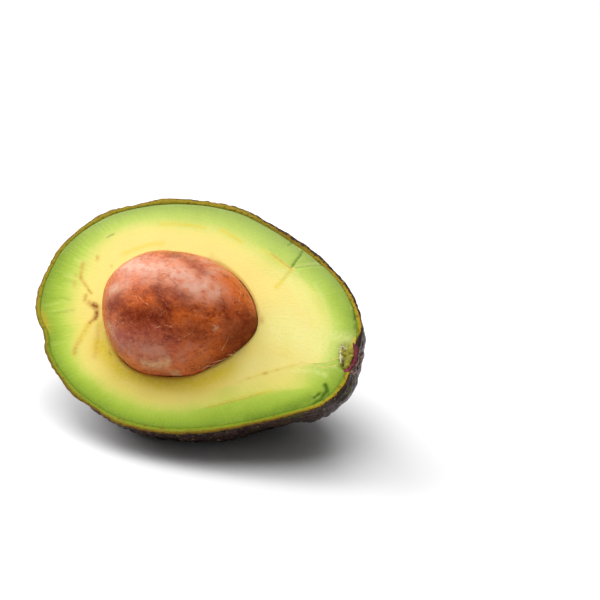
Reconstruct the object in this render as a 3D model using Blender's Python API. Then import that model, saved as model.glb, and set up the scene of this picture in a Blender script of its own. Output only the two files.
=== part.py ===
"""Half an avocado, cut lengthwise, with its seed still in it.

Four pieces lie in one another: the pebbled skin, the flesh that fills it, the seed in the
flesh's cavity, and the corky stem button, which the cut has split as well. The half lies on
its back, leaning, on the small flat spot that its own weight has pressed into it.

Sizes are in millimetres here and become metres where the meshes are made. Shapes are worked
out in the cut's own frame: x runs from the blossom end to the stem end, y across the cut, and
z out of the cut face, with the origin at the seed's middle. Row frame: +Z up, origin on the
surface under the middle of the half, +X towards the stem end, cut face towards -Y and up.
"""

import math

import bmesh
import bpy
import numpy as np
from mathutils import Matrix, Vector, noise

MM = 0.001

# Driving dimensions
SKIN_REACH = (55.0, 46.0, 37.5, 36.0, 38.5, 44.5, 46.0, 40.0, 36.5, 35.0, 36.5, 45.5)
SKIN_DEPTH = 36.5
SKIN_FULLNESS = 2.2
SKIN_WALL = 1.3
SEED_REACH = (23.0, 21.2, 19.0, 18.2, 20.0, 23.2, 24.0, 22.0, 20.4, 18.4, 18.5, 20.3)
SEED_RISE = 18.2
SEED_SINK = 17.6
SEED_FULLNESS = 2.05
BUTTON_Y = -2.0
BUTTON_RADIUS = 3.8
BUTTON_RING_RADIUS = 2.9
BUTTON_HOLLOW_RADIUS = 1.6
BUTTON_FACE_X = 55.3
BUTTON_RIM = 1.5
BUTTON_BEVEL = 0.5
PLUG_RADIUS = 3.4
PLUG_END_X = 49.6
SOCKET_OVERRUN = 6.0
FACE_LEAN = math.radians(43.0)
SEED_HEIGHT = 33.4
FRUIT_SHIFT = (-4.60, -5.86)
GAP = 0.3

# Relief of the skin
PEBBLE = 3.7
PEBBLE_HEIGHT = 0.75
PEBBLE_REACH = 0.62
SWELL = 11.0
SWELL_HEIGHT = 0.45
WARP = 6.5
WARP_AMOUNT = 0.28
WARP_OFFSETS = (Vector((0, 0, 0)), Vector((31.4, 0, 0)), Vector((0, 47.1, 0)))
SMOOTH_NEAR_STEM = (5.0, 20.0)
DIMPLE_ANGLE = math.radians(195.0)
DIMPLE_SIZE = 4.2
DIMPLE_DEPTH = 1.1

# Mesh fineness, in segments along each side of the cube that a piece starts from
SKIN_SEGMENTS = 36
LINING_SEGMENTS = 16
CAVITY_SEGMENTS = 14
SEED_SEGMENTS = 14
BUTTON_SIDES = 32
# A corner of a ball this close to its middle plane lies on the plane
LEVEL = 1e-4
# Edges that turn more than this stay crisp
SHARP_ANGLE = math.radians(40.0)

# Colour and roughness of each piece
SURFACES = {
    "skin": ((0.045, 0.030, 0.026), 0.45),
    "flesh": ((0.78, 0.74, 0.30), 0.45),
    "seed": ((0.36, 0.13, 0.06), 0.45),
    "stem_button": ((0.36, 0.27, 0.10), 0.8),
}


def reach_at(reaches, angle):
    """The smooth closed outline through reaches that are evenly spaced round the cut."""
    count = len(reaches)
    waves = np.fft.rfft(reaches) / count
    order = np.arange(len(waves))
    weight = np.where((order == 0) | (2 * order == count), 1.0, 2.0)
    turns = np.exp(1j * np.multiply.outer(angle, order))
    return (turns * waves * weight).real.sum(axis=-1)


def egg_point(direction, reaches, height, fullness):
    """Where a line from the seed's middle leaves an egg of this outline and height."""
    flat = math.hypot(direction.x, direction.y)
    reach = float(reach_at(reaches, math.atan2(direction.y, direction.x)))
    share = (flat / reach) ** fullness + (abs(direction.z) / height) ** fullness
    return direction * share ** (-1 / fullness)


def smooth_step(value):
    value = min(max(value, 0.0), 1.0)
    return value * value * (3 - 2 * value)


def wander(point):
    """A smooth sideways wander that keeps the pebbles from looking evenly spread."""
    return Vector([noise.noise(point + offset) for offset in WARP_OFFSETS])


def skin_relief(point):
    """How far the pebbles and the broad swells raise the skin at a point."""
    warped = point / PEBBLE + WARP_AMOUNT * wander(point / WARP)
    nearest = noise.voronoi(warped)[0][0]
    pebble = 1 - smooth_step(nearest / PEBBLE_REACH)
    stem = Vector((BUTTON_FACE_X, BUTTON_Y, 0))
    start, end = SMOOTH_NEAR_STEM
    away = smooth_step(((point - stem).length - start) / (end - start))
    swell = noise.noise(point / SWELL)
    return away * (PEBBLE_HEIGHT * (pebble - 0.5) + SWELL_HEIGHT * swell)


def blossom_dimple(point):
    """How far the small dimple at the blossom end sinks the half at a point."""
    reach = float(reach_at(SKIN_REACH, DIMPLE_ANGLE))
    middle = Vector((math.cos(DIMPLE_ANGLE), math.sin(DIMPLE_ANGLE), 0)) * reach
    return DIMPLE_DEPTH * math.exp(-((point - middle).length / DIMPLE_SIZE) ** 2)


def skin_point(direction, inset=0.0, relief=False):
    """The skin's outside, or a surface that lies under it by the inset."""
    point = egg_point(direction, SKIN_REACH, SKIN_DEPTH, SKIN_FULLNESS)
    lift = skin_relief(point) if relief else 0.0
    return point + direction * (lift - blossom_dimple(point) - inset)


def seed_point(direction, inset=0.0):
    height = SEED_RISE if direction.z > 0 else SEED_SINK
    point = egg_point(direction, SEED_REACH, height, SEED_FULLNESS)
    return point - direction * inset


def in_row_frame(point):
    """From the cut's frame, in millimetres, to the row frame, still in millimetres."""
    leaning = Matrix.Rotation(FACE_LEAN, 3, "X") @ point
    return leaning + Vector((FRUIT_SHIFT[0], FRUIT_SHIFT[1], SEED_HEIGHT))


def rested(point, lowest):
    """The point in the row frame, pressed up to the flat spot where it would go below it."""
    placed = in_row_frame(point)
    placed.z = max(placed.z, lowest)
    return placed * MM


def new_ball(segments, lower_half=False):
    """A cube cut into squares and blown up into a ball of radius 1, or its lower half."""
    bm = bmesh.new()
    bmesh.ops.create_cube(bm, size=2)
    bmesh.ops.subdivide_edges(
        bm, edges=list(bm.edges), cuts=segments - 1, use_grid_fill=True
    )
    for vert in bm.verts:
        even = Vector([math.tan(math.pi / 4 * side) for side in vert.co])
        vert.co = even.normalized()
        if abs(vert.co.z) < LEVEL:
            vert.co.z = 0
    if lower_half:
        above = [vert for vert in bm.verts if vert.co.z > 0]
        bmesh.ops.delete(bm, geom=above, context="VERTS")
    return bm


def shape_ball(bm, point_at, lowest):
    for vert in bm.verts:
        vert.co = rested(point_at(vert.co.normalized()), lowest)


def rim_of(bm):
    """Number and angle of each corner on a half ball's open edge, in order round the cut."""
    bm.verts.index_update()
    rim = [vert for vert in bm.verts if vert.is_boundary]
    return sorted((math.atan2(vert.co.y, vert.co.x), vert.index) for vert in rim)


def join_rims(bm, outer_rim, inner_rim):
    """Fill the flat ring between two rims, stepping on along whichever is behind."""
    bm.verts.ensure_lookup_table()
    full_turn = 2 * math.pi
    outer_rim = outer_rim + [(outer_rim[0][0] + full_turn, outer_rim[0][1])]
    inner_rim = inner_rim + [(inner_rim[0][0] + full_turn, inner_rim[0][1])]
    out, inn = 0, 0
    while out < len(outer_rim) - 1 or inn < len(inner_rim) - 1:
        inner_done = inn == len(inner_rim) - 1
        outer_done = out == len(outer_rim) - 1
        outer_behind = not outer_done and (
            inner_done or outer_rim[out + 1][0] <= inner_rim[inn + 1][0]
        )
        corners = [outer_rim[out][1], inner_rim[inn][1]]
        if outer_behind:
            out += 1
            corners.append(outer_rim[out][1])
        else:
            inn += 1
            corners.append(inner_rim[inn][1])
        bm.faces.new([bm.verts[number] for number in corners])


def new_material(name):
    colour, roughness = SURFACES[name]
    material = bpy.data.materials.new(name)
    material.use_nodes = True
    shader = material.node_tree.nodes["Principled BSDF"]
    shader.inputs["Base Color"].default_value = (*colour, 1)
    shader.inputs["Roughness"].default_value = roughness
    shader.inputs["Metallic"].default_value = 0
    return material


def finished_object(name, bm):
    """Close the work on a piece: faces out, material on, and into the scene."""
    bmesh.ops.recalc_face_normals(bm, faces=bm.faces)
    mesh = bpy.data.meshes.new(name)
    bm.to_mesh(mesh)
    bm.free()
    mesh.materials.append(new_material(name))
    mesh.shade_smooth()
    mesh.set_sharp_from_angle(angle=SHARP_ANGLE)
    obj = bpy.data.objects.new(name, mesh)
    bpy.context.scene.collection.objects.link(obj)
    return obj


def shaped_half_ball(segments, point_at, lowest):
    """A half ball's mesh, shaped and placed, with the order of the corners on its rim."""
    bm = new_ball(segments, lower_half=True)
    rim = rim_of(bm)
    shape_ball(bm, point_at, lowest)
    mesh = bpy.data.meshes.new("half_ball")
    bm.to_mesh(mesh)
    bm.free()
    return mesh, rim


def new_cup(outer, inner):
    """Two half balls, one in the other, joined by the flat ring of the cut face."""
    bm = bmesh.new()
    rims = []
    for mesh, rim in (outer, inner):
        before = len(bm.verts)
        rims.append([(angle, number + before) for angle, number in rim])
        bm.from_mesh(mesh)
        bpy.data.meshes.remove(mesh)
    join_rims(bm, *rims)
    return bm


def make_skin():
    """The peel: pebbled outside, smooth lining, and a flat cut edge."""
    outside = shaped_half_ball(
        SKIN_SEGMENTS, lambda direction: skin_point(direction, relief=True), 0.0
    )
    lining = shaped_half_ball(
        LINING_SEGMENTS, lambda direction: skin_point(direction, SKIN_WALL), SKIN_WALL
    )
    return finished_object("skin", new_cup(outside, lining))


def make_flesh():
    """The flesh: it fills the skin up to the cut, round the cavity that holds the seed."""
    bed = SKIN_WALL + GAP
    outside = shaped_half_ball(
        LINING_SEGMENTS, lambda direction: skin_point(direction, bed), bed
    )
    cavity = shaped_half_ball(
        CAVITY_SEGMENTS, lambda direction: seed_point(direction, -GAP), 0.0
    )
    return finished_object("flesh", new_cup(outside, cavity))


def make_seed():
    """The seed: a whole egg, its blunt end to the blossom, half sunk in the flesh."""
    bm = new_ball(SEED_SEGMENTS)
    shape_ball(bm, seed_point, 0.0)
    return finished_object("seed", bm)


def add_half_turned(bm, profile):
    """A profile of (x, radius) pairs turned half way round the button's own axis."""
    centre = Vector((0, BUTTON_Y, 0))
    rings = []
    for along, radius in profile:
        ring = []
        for step in range(BUTTON_SIDES + 1):
            turn = math.pi * step / BUTTON_SIDES
            spoke = Vector((along, radius * math.cos(turn), -radius * math.sin(turn)))
            ring.append(bm.verts.new(rested(centre + spoke, 0.0)))
        rings.append(ring)
    for ring, after in zip(rings, rings[1:]):
        for step in range(BUTTON_SIDES):
            corners = (ring[step], ring[step + 1], after[step + 1], after[step])
            bm.faces.new(corners)
    bm.faces.new(rings[0])
    bm.faces.new(rings[-1])
    cut_side = [ring[0] for ring in rings] + [ring[-1] for ring in reversed(rings)]
    bm.faces.new(cut_side)


def make_stem_button():
    """The corky button that the stem left, with the plug that roots it in the flesh."""
    bm = bmesh.new()
    neck = BUTTON_FACE_X - BUTTON_RIM
    profile = (
        (PLUG_END_X, PLUG_RADIUS - BUTTON_BEVEL),
        (PLUG_END_X + BUTTON_BEVEL, PLUG_RADIUS),
        (neck, PLUG_RADIUS),
        (neck, BUTTON_RADIUS),
        (BUTTON_FACE_X - BUTTON_BEVEL, BUTTON_RADIUS),
        (BUTTON_FACE_X, BUTTON_RING_RADIUS),
        (BUTTON_FACE_X - BUTTON_BEVEL, BUTTON_HOLLOW_RADIUS),
    )
    add_half_turned(bm, profile)
    return finished_object("stem_button", bm)


def make_socket_cutter():
    """The round socket that the stem button sits in, as wide as the button and the gap."""
    radius = BUTTON_RADIUS + GAP
    start, end = PLUG_END_X - GAP, BUTTON_FACE_X + SOCKET_OVERRUN
    bm = bmesh.new()
    bmesh.ops.create_cone(
        bm,
        cap_ends=True,
        segments=2 * BUTTON_SIDES,
        radius1=radius,
        radius2=radius,
        depth=end - start,
    )
    along_x = Matrix.Rotation(math.radians(90), 3, "Y")
    middle = Vector(((start + end) / 2, BUTTON_Y, 0))
    for vert in bm.verts:
        vert.co = in_row_frame(along_x @ vert.co + middle) * MM
    mesh = bpy.data.meshes.new("socket_cutter")
    bm.to_mesh(mesh)
    bm.free()
    cutter = bpy.data.objects.new("socket_cutter", mesh)
    bpy.context.scene.collection.objects.link(cutter)
    cutter.hide_render = True
    cutter.display_type = "WIRE"
    return cutter


def cut_with(obj, cutter):
    cut = obj.modifiers.new("stem_socket", "BOOLEAN")
    cut.operation = "DIFFERENCE"
    cut.object = cutter


def main():
    for obj in list(bpy.data.objects):
        bpy.data.objects.remove(obj)
    skin = make_skin()
    flesh = make_flesh()
    make_seed()
    make_stem_button()
    cutter = make_socket_cutter()
    cut_with(skin, cutter)
    cut_with(flesh, cutter)


main()
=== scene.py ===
# %% [markdown]
# # Half an avocado
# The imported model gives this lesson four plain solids: skin, flesh, seed and stem button.
# They have the right size and they lie where they should, but they are coarse and bare.
# We keep them as the fixed frame, and build a finer piece for each one, in the same place.
# All shapes are worked out in millimetres in the frame of the knife's cut: x runs from the
# blossom end to the stem end, y across the cut, z out of the cut face, and the origin is the
# middle of the seed. One small function then turns and moves them into the model's frame.

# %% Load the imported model
import math

import bmesh
import bpy
import numpy as np
from mathutils import Matrix, Vector, noise


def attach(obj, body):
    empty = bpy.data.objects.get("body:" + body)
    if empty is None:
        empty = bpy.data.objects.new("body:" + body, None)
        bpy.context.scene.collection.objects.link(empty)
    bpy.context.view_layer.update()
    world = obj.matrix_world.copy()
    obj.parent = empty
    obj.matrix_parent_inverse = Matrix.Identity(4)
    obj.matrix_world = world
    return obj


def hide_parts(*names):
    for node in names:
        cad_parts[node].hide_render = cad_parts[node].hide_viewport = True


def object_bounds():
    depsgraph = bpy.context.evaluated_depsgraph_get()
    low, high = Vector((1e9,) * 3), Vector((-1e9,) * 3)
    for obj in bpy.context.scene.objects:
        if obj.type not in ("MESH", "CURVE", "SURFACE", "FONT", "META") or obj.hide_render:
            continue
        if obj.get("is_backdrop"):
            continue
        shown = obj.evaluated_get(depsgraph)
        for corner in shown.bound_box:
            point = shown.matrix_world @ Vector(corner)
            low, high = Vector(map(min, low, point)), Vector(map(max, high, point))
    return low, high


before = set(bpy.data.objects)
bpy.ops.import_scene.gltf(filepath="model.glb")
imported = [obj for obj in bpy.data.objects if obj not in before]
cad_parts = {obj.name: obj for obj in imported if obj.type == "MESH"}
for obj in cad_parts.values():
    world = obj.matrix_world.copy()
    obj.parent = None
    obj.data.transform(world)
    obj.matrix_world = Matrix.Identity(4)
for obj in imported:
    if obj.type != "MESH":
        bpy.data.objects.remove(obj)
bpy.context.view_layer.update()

MM = 0.001

# %% [markdown]
# ## The camera
# A photograph can be matched only from where it was taken. The picture is 600 pixels wide and
# the seed's middle is seen at one known pixel, with 3.5 pixels to the millimetre there. From
# that the camera's place follows by plain trigonometry, so we compute it instead of guessing.

# %% Camera
FACE_LEAN = math.radians(43.0)
SEED_CENTRE = (-4.60, -5.86, 33.4)
PICTURE_WIDTH = 600
SEED_PIXEL = (180.5, 316.3)
PIXELS_PER_MM = 3.5
CAMERA_DISTANCE = 600.0
CAMERA_AZIMUTH = math.radians(24.0)
CAMERA_ELEVATION = math.radians(27.0)
SENSOR_WIDTH = 36.0
CLIP_START = 0.05


def new_object(name, data):
    """An object in the scene, at the origin."""
    thing = bpy.data.objects.new(name, data)
    bpy.context.scene.collection.objects.link(thing)
    return thing


right = Vector((math.cos(CAMERA_AZIMUTH), math.sin(CAMERA_AZIMUTH), 0))
back = Vector((
    math.sin(CAMERA_AZIMUTH) * math.cos(CAMERA_ELEVATION),
    -math.cos(CAMERA_AZIMUTH) * math.cos(CAMERA_ELEVATION),
    math.sin(CAMERA_ELEVATION),
))
up = back.cross(right)
focal_pixels = PIXELS_PER_MM * CAMERA_DISTANCE
seed_right = (SEED_PIXEL[0] - PICTURE_WIDTH / 2) / focal_pixels
seed_up = (PICTURE_WIDTH / 2 - SEED_PIXEL[1]) / focal_pixels
sight = (seed_right * right + seed_up * up - back) * CAMERA_DISTANCE

camera_data = bpy.data.cameras.new("camera")
camera_data.lens = SENSOR_WIDTH * focal_pixels / PICTURE_WIDTH
camera_data.sensor_width = SENSOR_WIDTH
camera_data.clip_start = CLIP_START
camera = new_object("camera", camera_data)
camera.rotation_mode = "QUATERNION"
camera.rotation_quaternion = Matrix((right, up, back)).transposed().to_quaternion()
camera.location = (Vector(SEED_CENTRE) - sight) * MM
bpy.context.scene.camera = camera
print("camera at", [round(c, 3) for c in camera.location], "lens", camera_data.lens, "mm")

# %% [markdown]
# ## Floor and light
# The fruit lies on a white glossy sheet under large soft lamps. The world is pale above and
# dim near the horizon, as in a studio, so the seed shows a dark belt between the light from
# above and the light that comes back from the sheet. One big lamp hangs over the fruit, and
# one at the back on the left gives the seed and the pebbles their broad sheen.

# %% Helpers for node trees
def fill(node, **inputs):
    """Fill a node's sockets, by name or by number, with values or links."""
    for key, value in inputs.items():
        socket = node.inputs[int(key[1:]) if key[1:].isdigit() else key.replace("_", " ")]
        if isinstance(value, bpy.types.NodeSocket):
            link(value, socket)
        elif socket.type == "RGBA" and len(value) == 3:
            socket.default_value = (*value, 1)
        else:
            socket.default_value = value
    return node


def add_node(tree, kind, settings=None, **inputs):
    """Add a node, set its options, and fill its sockets."""
    node = tree.nodes.new(kind)
    for key, value in (settings or {}).items():
        setattr(node, key, value)
    return fill(node, **inputs)


def output_of(tree, kind, settings=None, **inputs):
    """The first output of a new node."""
    return add_node(tree, kind, settings, **inputs).outputs[0]


def link(source, target):
    target.id_data.links.new(source, target)


def new_material(name):
    """A material and its Principled shader."""
    material = bpy.data.materials.new(name)
    material.use_nodes = True
    return material, material.node_tree.nodes["Principled BSDF"]

# %% Floor, world and lamps
FLOOR_SIZE = 6.0
LAMP_TARGET = Vector((0, 0, 0.03))
half = FLOOR_SIZE / 2
corners = [(-half, -half, 0), (half, -half, 0), (half, half, 0), (-half, half, 0)]
floor_mesh = bpy.data.meshes.new("floor")
floor_mesh.from_pydata(corners, [], [(0, 1, 2, 3)])
floor = new_object("floor", floor_mesh)
floor_material, shader = new_material("white_sheet")
fill(shader, Base_Color=(0.93, 0.93, 0.94), Roughness=0.22, Specular_IOR_Level=0.5)
floor_mesh.materials.append(floor_material)
floor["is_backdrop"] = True

world = bpy.data.worlds.new("studio")
bpy.context.scene.world = world
world.use_nodes = True
sky = world.node_tree
towards = add_node(sky, "ShaderNodeTexCoord")
parts = add_node(sky, "ShaderNodeSeparateXYZ", Vector=towards.outputs["Generated"])
brightness = output_of(
    sky, "ShaderNodeMapRange", {"interpolation_type": "SMOOTHSTEP"},
    Value=parts.outputs["Z"], From_Min=0.10, From_Max=0.95, To_Min=0.04, To_Max=0.36)
fill(sky.nodes["Background"], Color=(1, 1, 1), Strength=brightness)


def add_lamp(name, place, size, power):
    """A square soft lamp that looks at the fruit."""
    data = bpy.data.lights.new(name, "AREA")
    data.shape = "SQUARE"
    data.size = size
    data.energy = power
    lamp = new_object(name, data)
    lamp.location = place
    lamp.rotation_mode = "QUATERNION"
    lamp.rotation_quaternion = (LAMP_TARGET - Vector(place)).to_track_quat("-Z", "Y")


add_lamp("above", (0.02, 0.02, 0.85), 0.80, 7.2)
add_lamp("left", (-0.60, 0.16, 0.46), 0.66, 6.0)
bpy.context.scene.view_settings.view_transform = "Standard"

# %% [markdown]
# ## The shape of the cut
# An egg is nearly a ball whose reach changes with direction. Twelve reaches, one for every
# thirty degrees round the cut, give the outline of the fruit, and twelve more give the seed.
# A Fourier sum through them makes a smooth closed line, and a rounded arch carries that line
# down into the depth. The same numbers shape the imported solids, so the pieces must fit. A few
# low bulges and hollows come on top, because a real fruit isn't as even as that.

# %% Outline and egg
SKIN_REACH = (55.0, 46.0, 37.5, 36.0, 38.5, 44.5, 46.0, 40.0, 36.5, 35.0, 36.5, 45.5)
SKIN_DEPTH = 36.5
SKIN_FULLNESS = 2.2
SEED_REACH = (23.0, 21.2, 19.0, 18.2, 20.0, 23.2, 24.0, 22.0, 20.4, 18.4, 18.5, 20.3)
SEED_RISE = 18.2
SEED_SINK = 17.6
SEED_FULLNESS = 2.05
STEM = np.array((55.3, -2.0, 0.0))
DIMPLE_ANGLE = math.radians(199.0)
DIMPLE_SIZE = 4.2
DIMPLE_DEPTH = 1.5
BULGES = (
    ((-39.0, -18.0, 0.0), 20.0, 1.2),
    ((49.0, -14.0, -8.5), 10.0, 2.1),
    ((34.0, -24.0, -12.0), 11.0, -1.4),
    ((50.0, -12.0, 0.0), 7.0, 0.6),
)
SEED_BULGES = (
    ((18.5, -10.0, 3.0), 8.0, -0.75),
    ((23.0, 1.5, 2.0), 4.0, 0.45),
)


def round_the_clock(values, angle):
    """A smooth closed curve through values that are evenly spaced round the cut."""
    count = len(values)
    waves = np.fft.rfft(values) / count
    order = np.arange(len(waves))
    weight = np.where((order == 0) | (2 * order == count), 1.0, 2.0)
    turns = np.exp(1j * np.multiply.outer(angle, order))
    return (turns * waves * weight).real.sum(axis=-1)


def egg_points(directions, reaches, height, fullness):
    flat = np.hypot(directions[:, 0], directions[:, 1])
    reach = round_the_clock(reaches, np.arctan2(directions[:, 1], directions[:, 0]))
    share = (flat / reach) ** fullness + (np.abs(directions[:, 2]) / height) ** fullness
    return directions * (share ** (-1 / fullness))[:, None]


def bulging(points, bulges):
    """How far broad bulges, or hollows where they are negative, lift each point."""
    lift = np.zeros(len(points))
    for place, size, height in bulges:
        away = np.linalg.norm(points - place, axis=1)
        lift += height * np.exp(-((away / size) ** 4))
    return lift


def skin_points(directions, inset):
    """The fruit without pebbles, or a surface that lies under it by the inset."""
    points = egg_points(directions, SKIN_REACH, SKIN_DEPTH, SKIN_FULLNESS)
    reach = round_the_clock(SKIN_REACH, DIMPLE_ANGLE)
    dimple = reach * np.array((math.cos(DIMPLE_ANGLE), math.sin(DIMPLE_ANGLE), 0))
    away = np.linalg.norm(points - dimple, axis=1)
    sink = DIMPLE_DEPTH * np.exp(-((away / DIMPLE_SIZE) ** 2))
    return points + directions * (bulging(points, BULGES) - sink - inset)[:, None]


def seed_points(directions, inset=0.0):
    height = np.where(directions[:, 2] > 0, SEED_RISE, SEED_SINK)
    points = egg_points(directions, SEED_REACH, height, SEED_FULLNESS)
    return points + directions * (bulging(points, SEED_BULGES) - inset)[:, None]


def to_model(points, lowest=None):
    """From the cut's frame in millimetres to the model's frame in metres."""
    turn = np.array(Matrix.Rotation(FACE_LEAN, 3, "X"))
    placed = points @ turn.T + np.array(SEED_CENTRE)
    if lowest is not None:
        placed[:, 2] = np.maximum(placed[:, 2], lowest)
    return placed * MM


outline = round_the_clock(SKIN_REACH, np.radians(np.arange(360)))
print("reach of the skin:", outline.min().round(1), "to", outline.max().round(1), "mm")

# %% [markdown]
# ## Meshes from balls
# A globe with meridians crowds its faces at the poles. A cube cut into squares and blown up
# into a ball spreads them evenly, which is what fine pebbles need. Half of such a ball, cut
# at its middle plane, has an open rim, whose corners we list in order round the cut.

# %% Ball and mesh helpers
def ball(segments, lower_half=False):
    """Directions, faces, and rim (in order of angle) of a ball or of its lower half."""
    bm = bmesh.new()
    bmesh.ops.create_cube(bm, size=2)
    bmesh.ops.subdivide_edges(
        bm, edges=list(bm.edges), cuts=segments - 1, use_grid_fill=True)
    for vert in bm.verts:
        even = Vector([math.tan(math.pi / 4 * side) for side in vert.co])
        vert.co = even.normalized()
        if abs(vert.co.z) < 1e-4:
            vert.co.z = 0
    if lower_half:
        above = [vert for vert in bm.verts if vert.co.z > 0]
        bmesh.ops.delete(bm, geom=above, context="VERTS")
    bm.verts.index_update()
    directions = np.array([vert.co[:] for vert in bm.verts])
    faces = [[vert.index for vert in face.verts] for face in bm.faces]
    rim = [vert.index for vert in bm.verts if vert.is_boundary]
    rim.sort(key=lambda i: math.atan2(directions[i][1], directions[i][0]))
    bm.free()
    return directions, faces, rim


def make_piece(name, points, faces, materials, face_material=None, attributes=None):
    """A smooth closed piece in the model's frame, with its faces turned outwards."""
    mesh = bpy.data.meshes.new(name)
    mesh.from_pydata([tuple(p) for p in points], [], faces)
    for material in materials:
        mesh.materials.append(material)
    if face_material is not None:
        mesh.polygons.foreach_set("material_index", np.array(face_material, np.int32))
    for key, values in (attributes or {}).items():
        layer = mesh.attributes.new(key, "FLOAT", "POINT")
        layer.data.foreach_set("value", np.array(values, np.float32))
    bm = bmesh.new()
    bm.from_mesh(mesh)
    bmesh.ops.recalc_face_normals(bm, faces=bm.faces)
    volume = bm.calc_volume(signed=True) / MM**3
    loose = sum(not edge.is_manifold for edge in bm.edges)
    bm.to_mesh(mesh)
    bm.free()
    mesh.shade_smooth()
    mesh.calc_loop_triangles()
    print(f"{name}: {len(mesh.loop_triangles)} triangles, {volume:.0f} mm3, {loose} open")
    return new_object(name, mesh)


def zip_rings(first, first_angle, second, second_angle):
    """Triangles between two closed rings, stepping on along whichever is behind."""
    faces = []
    first, second = list(first) + [first[0]], list(second) + [second[0]]
    first_angle = list(first_angle) + [first_angle[0] + math.tau]
    second_angle = list(second_angle) + [second_angle[0] + math.tau]
    i, j = 0, 0
    while i < len(first) - 1 or j < len(second) - 1:
        ahead = j == len(second) - 1 or (
            i < len(first) - 1 and first_angle[i + 1] <= second_angle[j + 1]
        )
        if ahead:
            faces.append([first[i], first[i + 1], second[j]])
            i += 1
        else:
            faces.append([first[i], second[j + 1], second[j]])
            j += 1
    return faces


def grid_faces(rows, turns, closed=True):
    """Squares between rows of points, which go all the way round where they are closed."""
    faces = []
    for row in range(rows - 1):
        for turn in range(turns if closed else turns - 1):
            a, b = row * turns + turn, row * turns + (turn + 1) % turns
            faces.append([a, b, b + turns, a + turns])
    return faces


def swept_faces(rows, turns):
    """Faces of closed rows of points that end in one more point at either end."""
    faces = grid_faces(rows, turns)
    first_end, last_row = rows * turns, (rows - 1) * turns
    for turn in range(turns):
        after = (turn + 1) % turns
        faces.append([first_end, after, turn])
        faces.append([first_end + 1, last_row + turn, last_row + after])
    return faces

# %% [markdown]
# ## Shared effects
# Mottling, fine grain and scattered flecks turn up on the peel, the flesh, the seed and the
# stem. Each is built once as a node group that gives out a mask or a height, and every
# material that uses it sets its own scale and strength.

# %% Shader groups
def maths(operation, first, second=0.0):
    """The result of a maths node, in the node tree of whichever value is a socket."""
    tree = (first if isinstance(first, bpy.types.NodeSocket) else second).id_data
    return output_of(tree, "ShaderNodeMath", {"operation": operation}, _0=first, _1=second)


def times(first, second):
    return maths("MULTIPLY", first, second)


def plus(first, second):
    return maths("ADD", first, second)


def minus(first, second):
    return maths("SUBTRACT", first, second)


def ramp(value, low, high):
    """0 at low, 1 at high, smooth between."""
    return output_of(
        value.id_data, "ShaderNodeMapRange", {"interpolation_type": "SMOOTHSTEP"},
        Value=value, From_Min=low, From_Max=high)


def new_group(name, inputs, output):
    """A shader group, the sockets that feed it, and the one that takes its result."""
    group = bpy.data.node_groups.new(name, "ShaderNodeTree")
    group.interface.new_socket("Vector", in_out="INPUT", socket_type="NodeSocketVector")
    for label, value in inputs.items():
        socket = group.interface.new_socket(
            label, in_out="INPUT", socket_type="NodeSocketFloat")
        socket.default_value = value
    group.interface.new_socket(output, in_out="OUTPUT", socket_type="NodeSocketFloat")
    given = add_node(group, "NodeGroupInput").outputs
    result = add_node(group, "NodeGroupOutput").inputs[output]
    return group, [given[label] for label in ("Vector", *inputs)], result


mottle, (vector, scale, detail, low, high), mask = new_group(
    "mottle", {"Scale": 1.0, "Detail": 4.0, "Low": 0.4, "High": 0.6}, "Mask")
cloud = output_of(mottle, "ShaderNodeTexNoise", Vector=vector, Scale=scale, Detail=detail)
link(ramp(cloud, low, high), mask)

grain, (vector, scale, amount), height = new_group(
    "grain", {"Scale": 1.0, "Amount": 1.0}, "Height")
fine = output_of(
    grain, "ShaderNodeTexNoise", Vector=vector, Scale=scale, Detail=5.0, Roughness=0.65)
link(times(fine, amount), height)

flecks, (vector, scale, size, share), mask = new_group(
    "flecks", {"Scale": 1.0, "Size": 0.3, "Share": 0.5}, "Mask")
cells = add_node(flecks, "ShaderNodeTexVoronoi", Vector=vector, Scale=scale).outputs
chosen = maths("LESS_THAN", cells["Color"], share)
link(times(ramp(cells["Distance"], size, 0.0), chosen), mask)


def use_group(group, where, **inputs):
    """A shared effect at a place."""
    return output_of(
        where.id_data, "ShaderNodeGroup", {"node_tree": group}, Vector=where, **inputs)


def clouds(where, scale, low, high, **inputs):
    return use_group(mottle, where, Scale=scale, Low=low, High=high, **inputs)


def grains(where, scale, amount=1.0):
    return use_group(grain, where, Scale=scale, Amount=amount)


def specks(where, scale, size, share):
    return use_group(flecks, where, Scale=scale, Size=size, Share=share)


def cut_coordinates(tree, stretch=1.0):
    """Object coordinates turned into the cut's frame, in millimetres."""
    return output_of(
        tree, "ShaderNodeMapping", {"vector_type": "TEXTURE"},
        Vector=add_node(tree, "ShaderNodeTexCoord").outputs["Object"],
        Location=Vector(SEED_CENTRE) * MM,
        Rotation=(FACE_LEAN, 0, 0),
        Scale=(MM * stretch, MM, MM))


def vectors(operation, where, output="Vector", **inputs):
    """What a vector node makes of a place."""
    node = add_node(
        where.id_data, "ShaderNodeVectorMath", {"operation": operation}, _0=where, **inputs)
    return node.outputs[output]


def sides_of(where):
    """The two coordinates of a place across the cut face."""
    return add_node(where.id_data, "ShaderNodeSeparateXYZ", Vector=where).outputs[:2]


def attribute(where, name):
    """A value that is stored on the mesh."""
    node = add_node(where.id_data, "ShaderNodeAttribute", {"attribute_name": name})
    return node.outputs["Fac"]


def mix(share, first, second):
    """A colour that goes from first to second as share goes from 0 to 1."""
    options = {"data_type": "RGBA", "clamp_factor": True}
    node = add_node(share.id_data, "ShaderNodeMix", options, _0=share, _6=first, _7=second)
    return node.outputs[2]


def lay_over(tone, layers):
    """A tone under other colours, each with its own mask and strength."""
    for mask, strength, colour in layers:
        tone = mix(times(mask, strength), tone, colour)
    return tone


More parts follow.
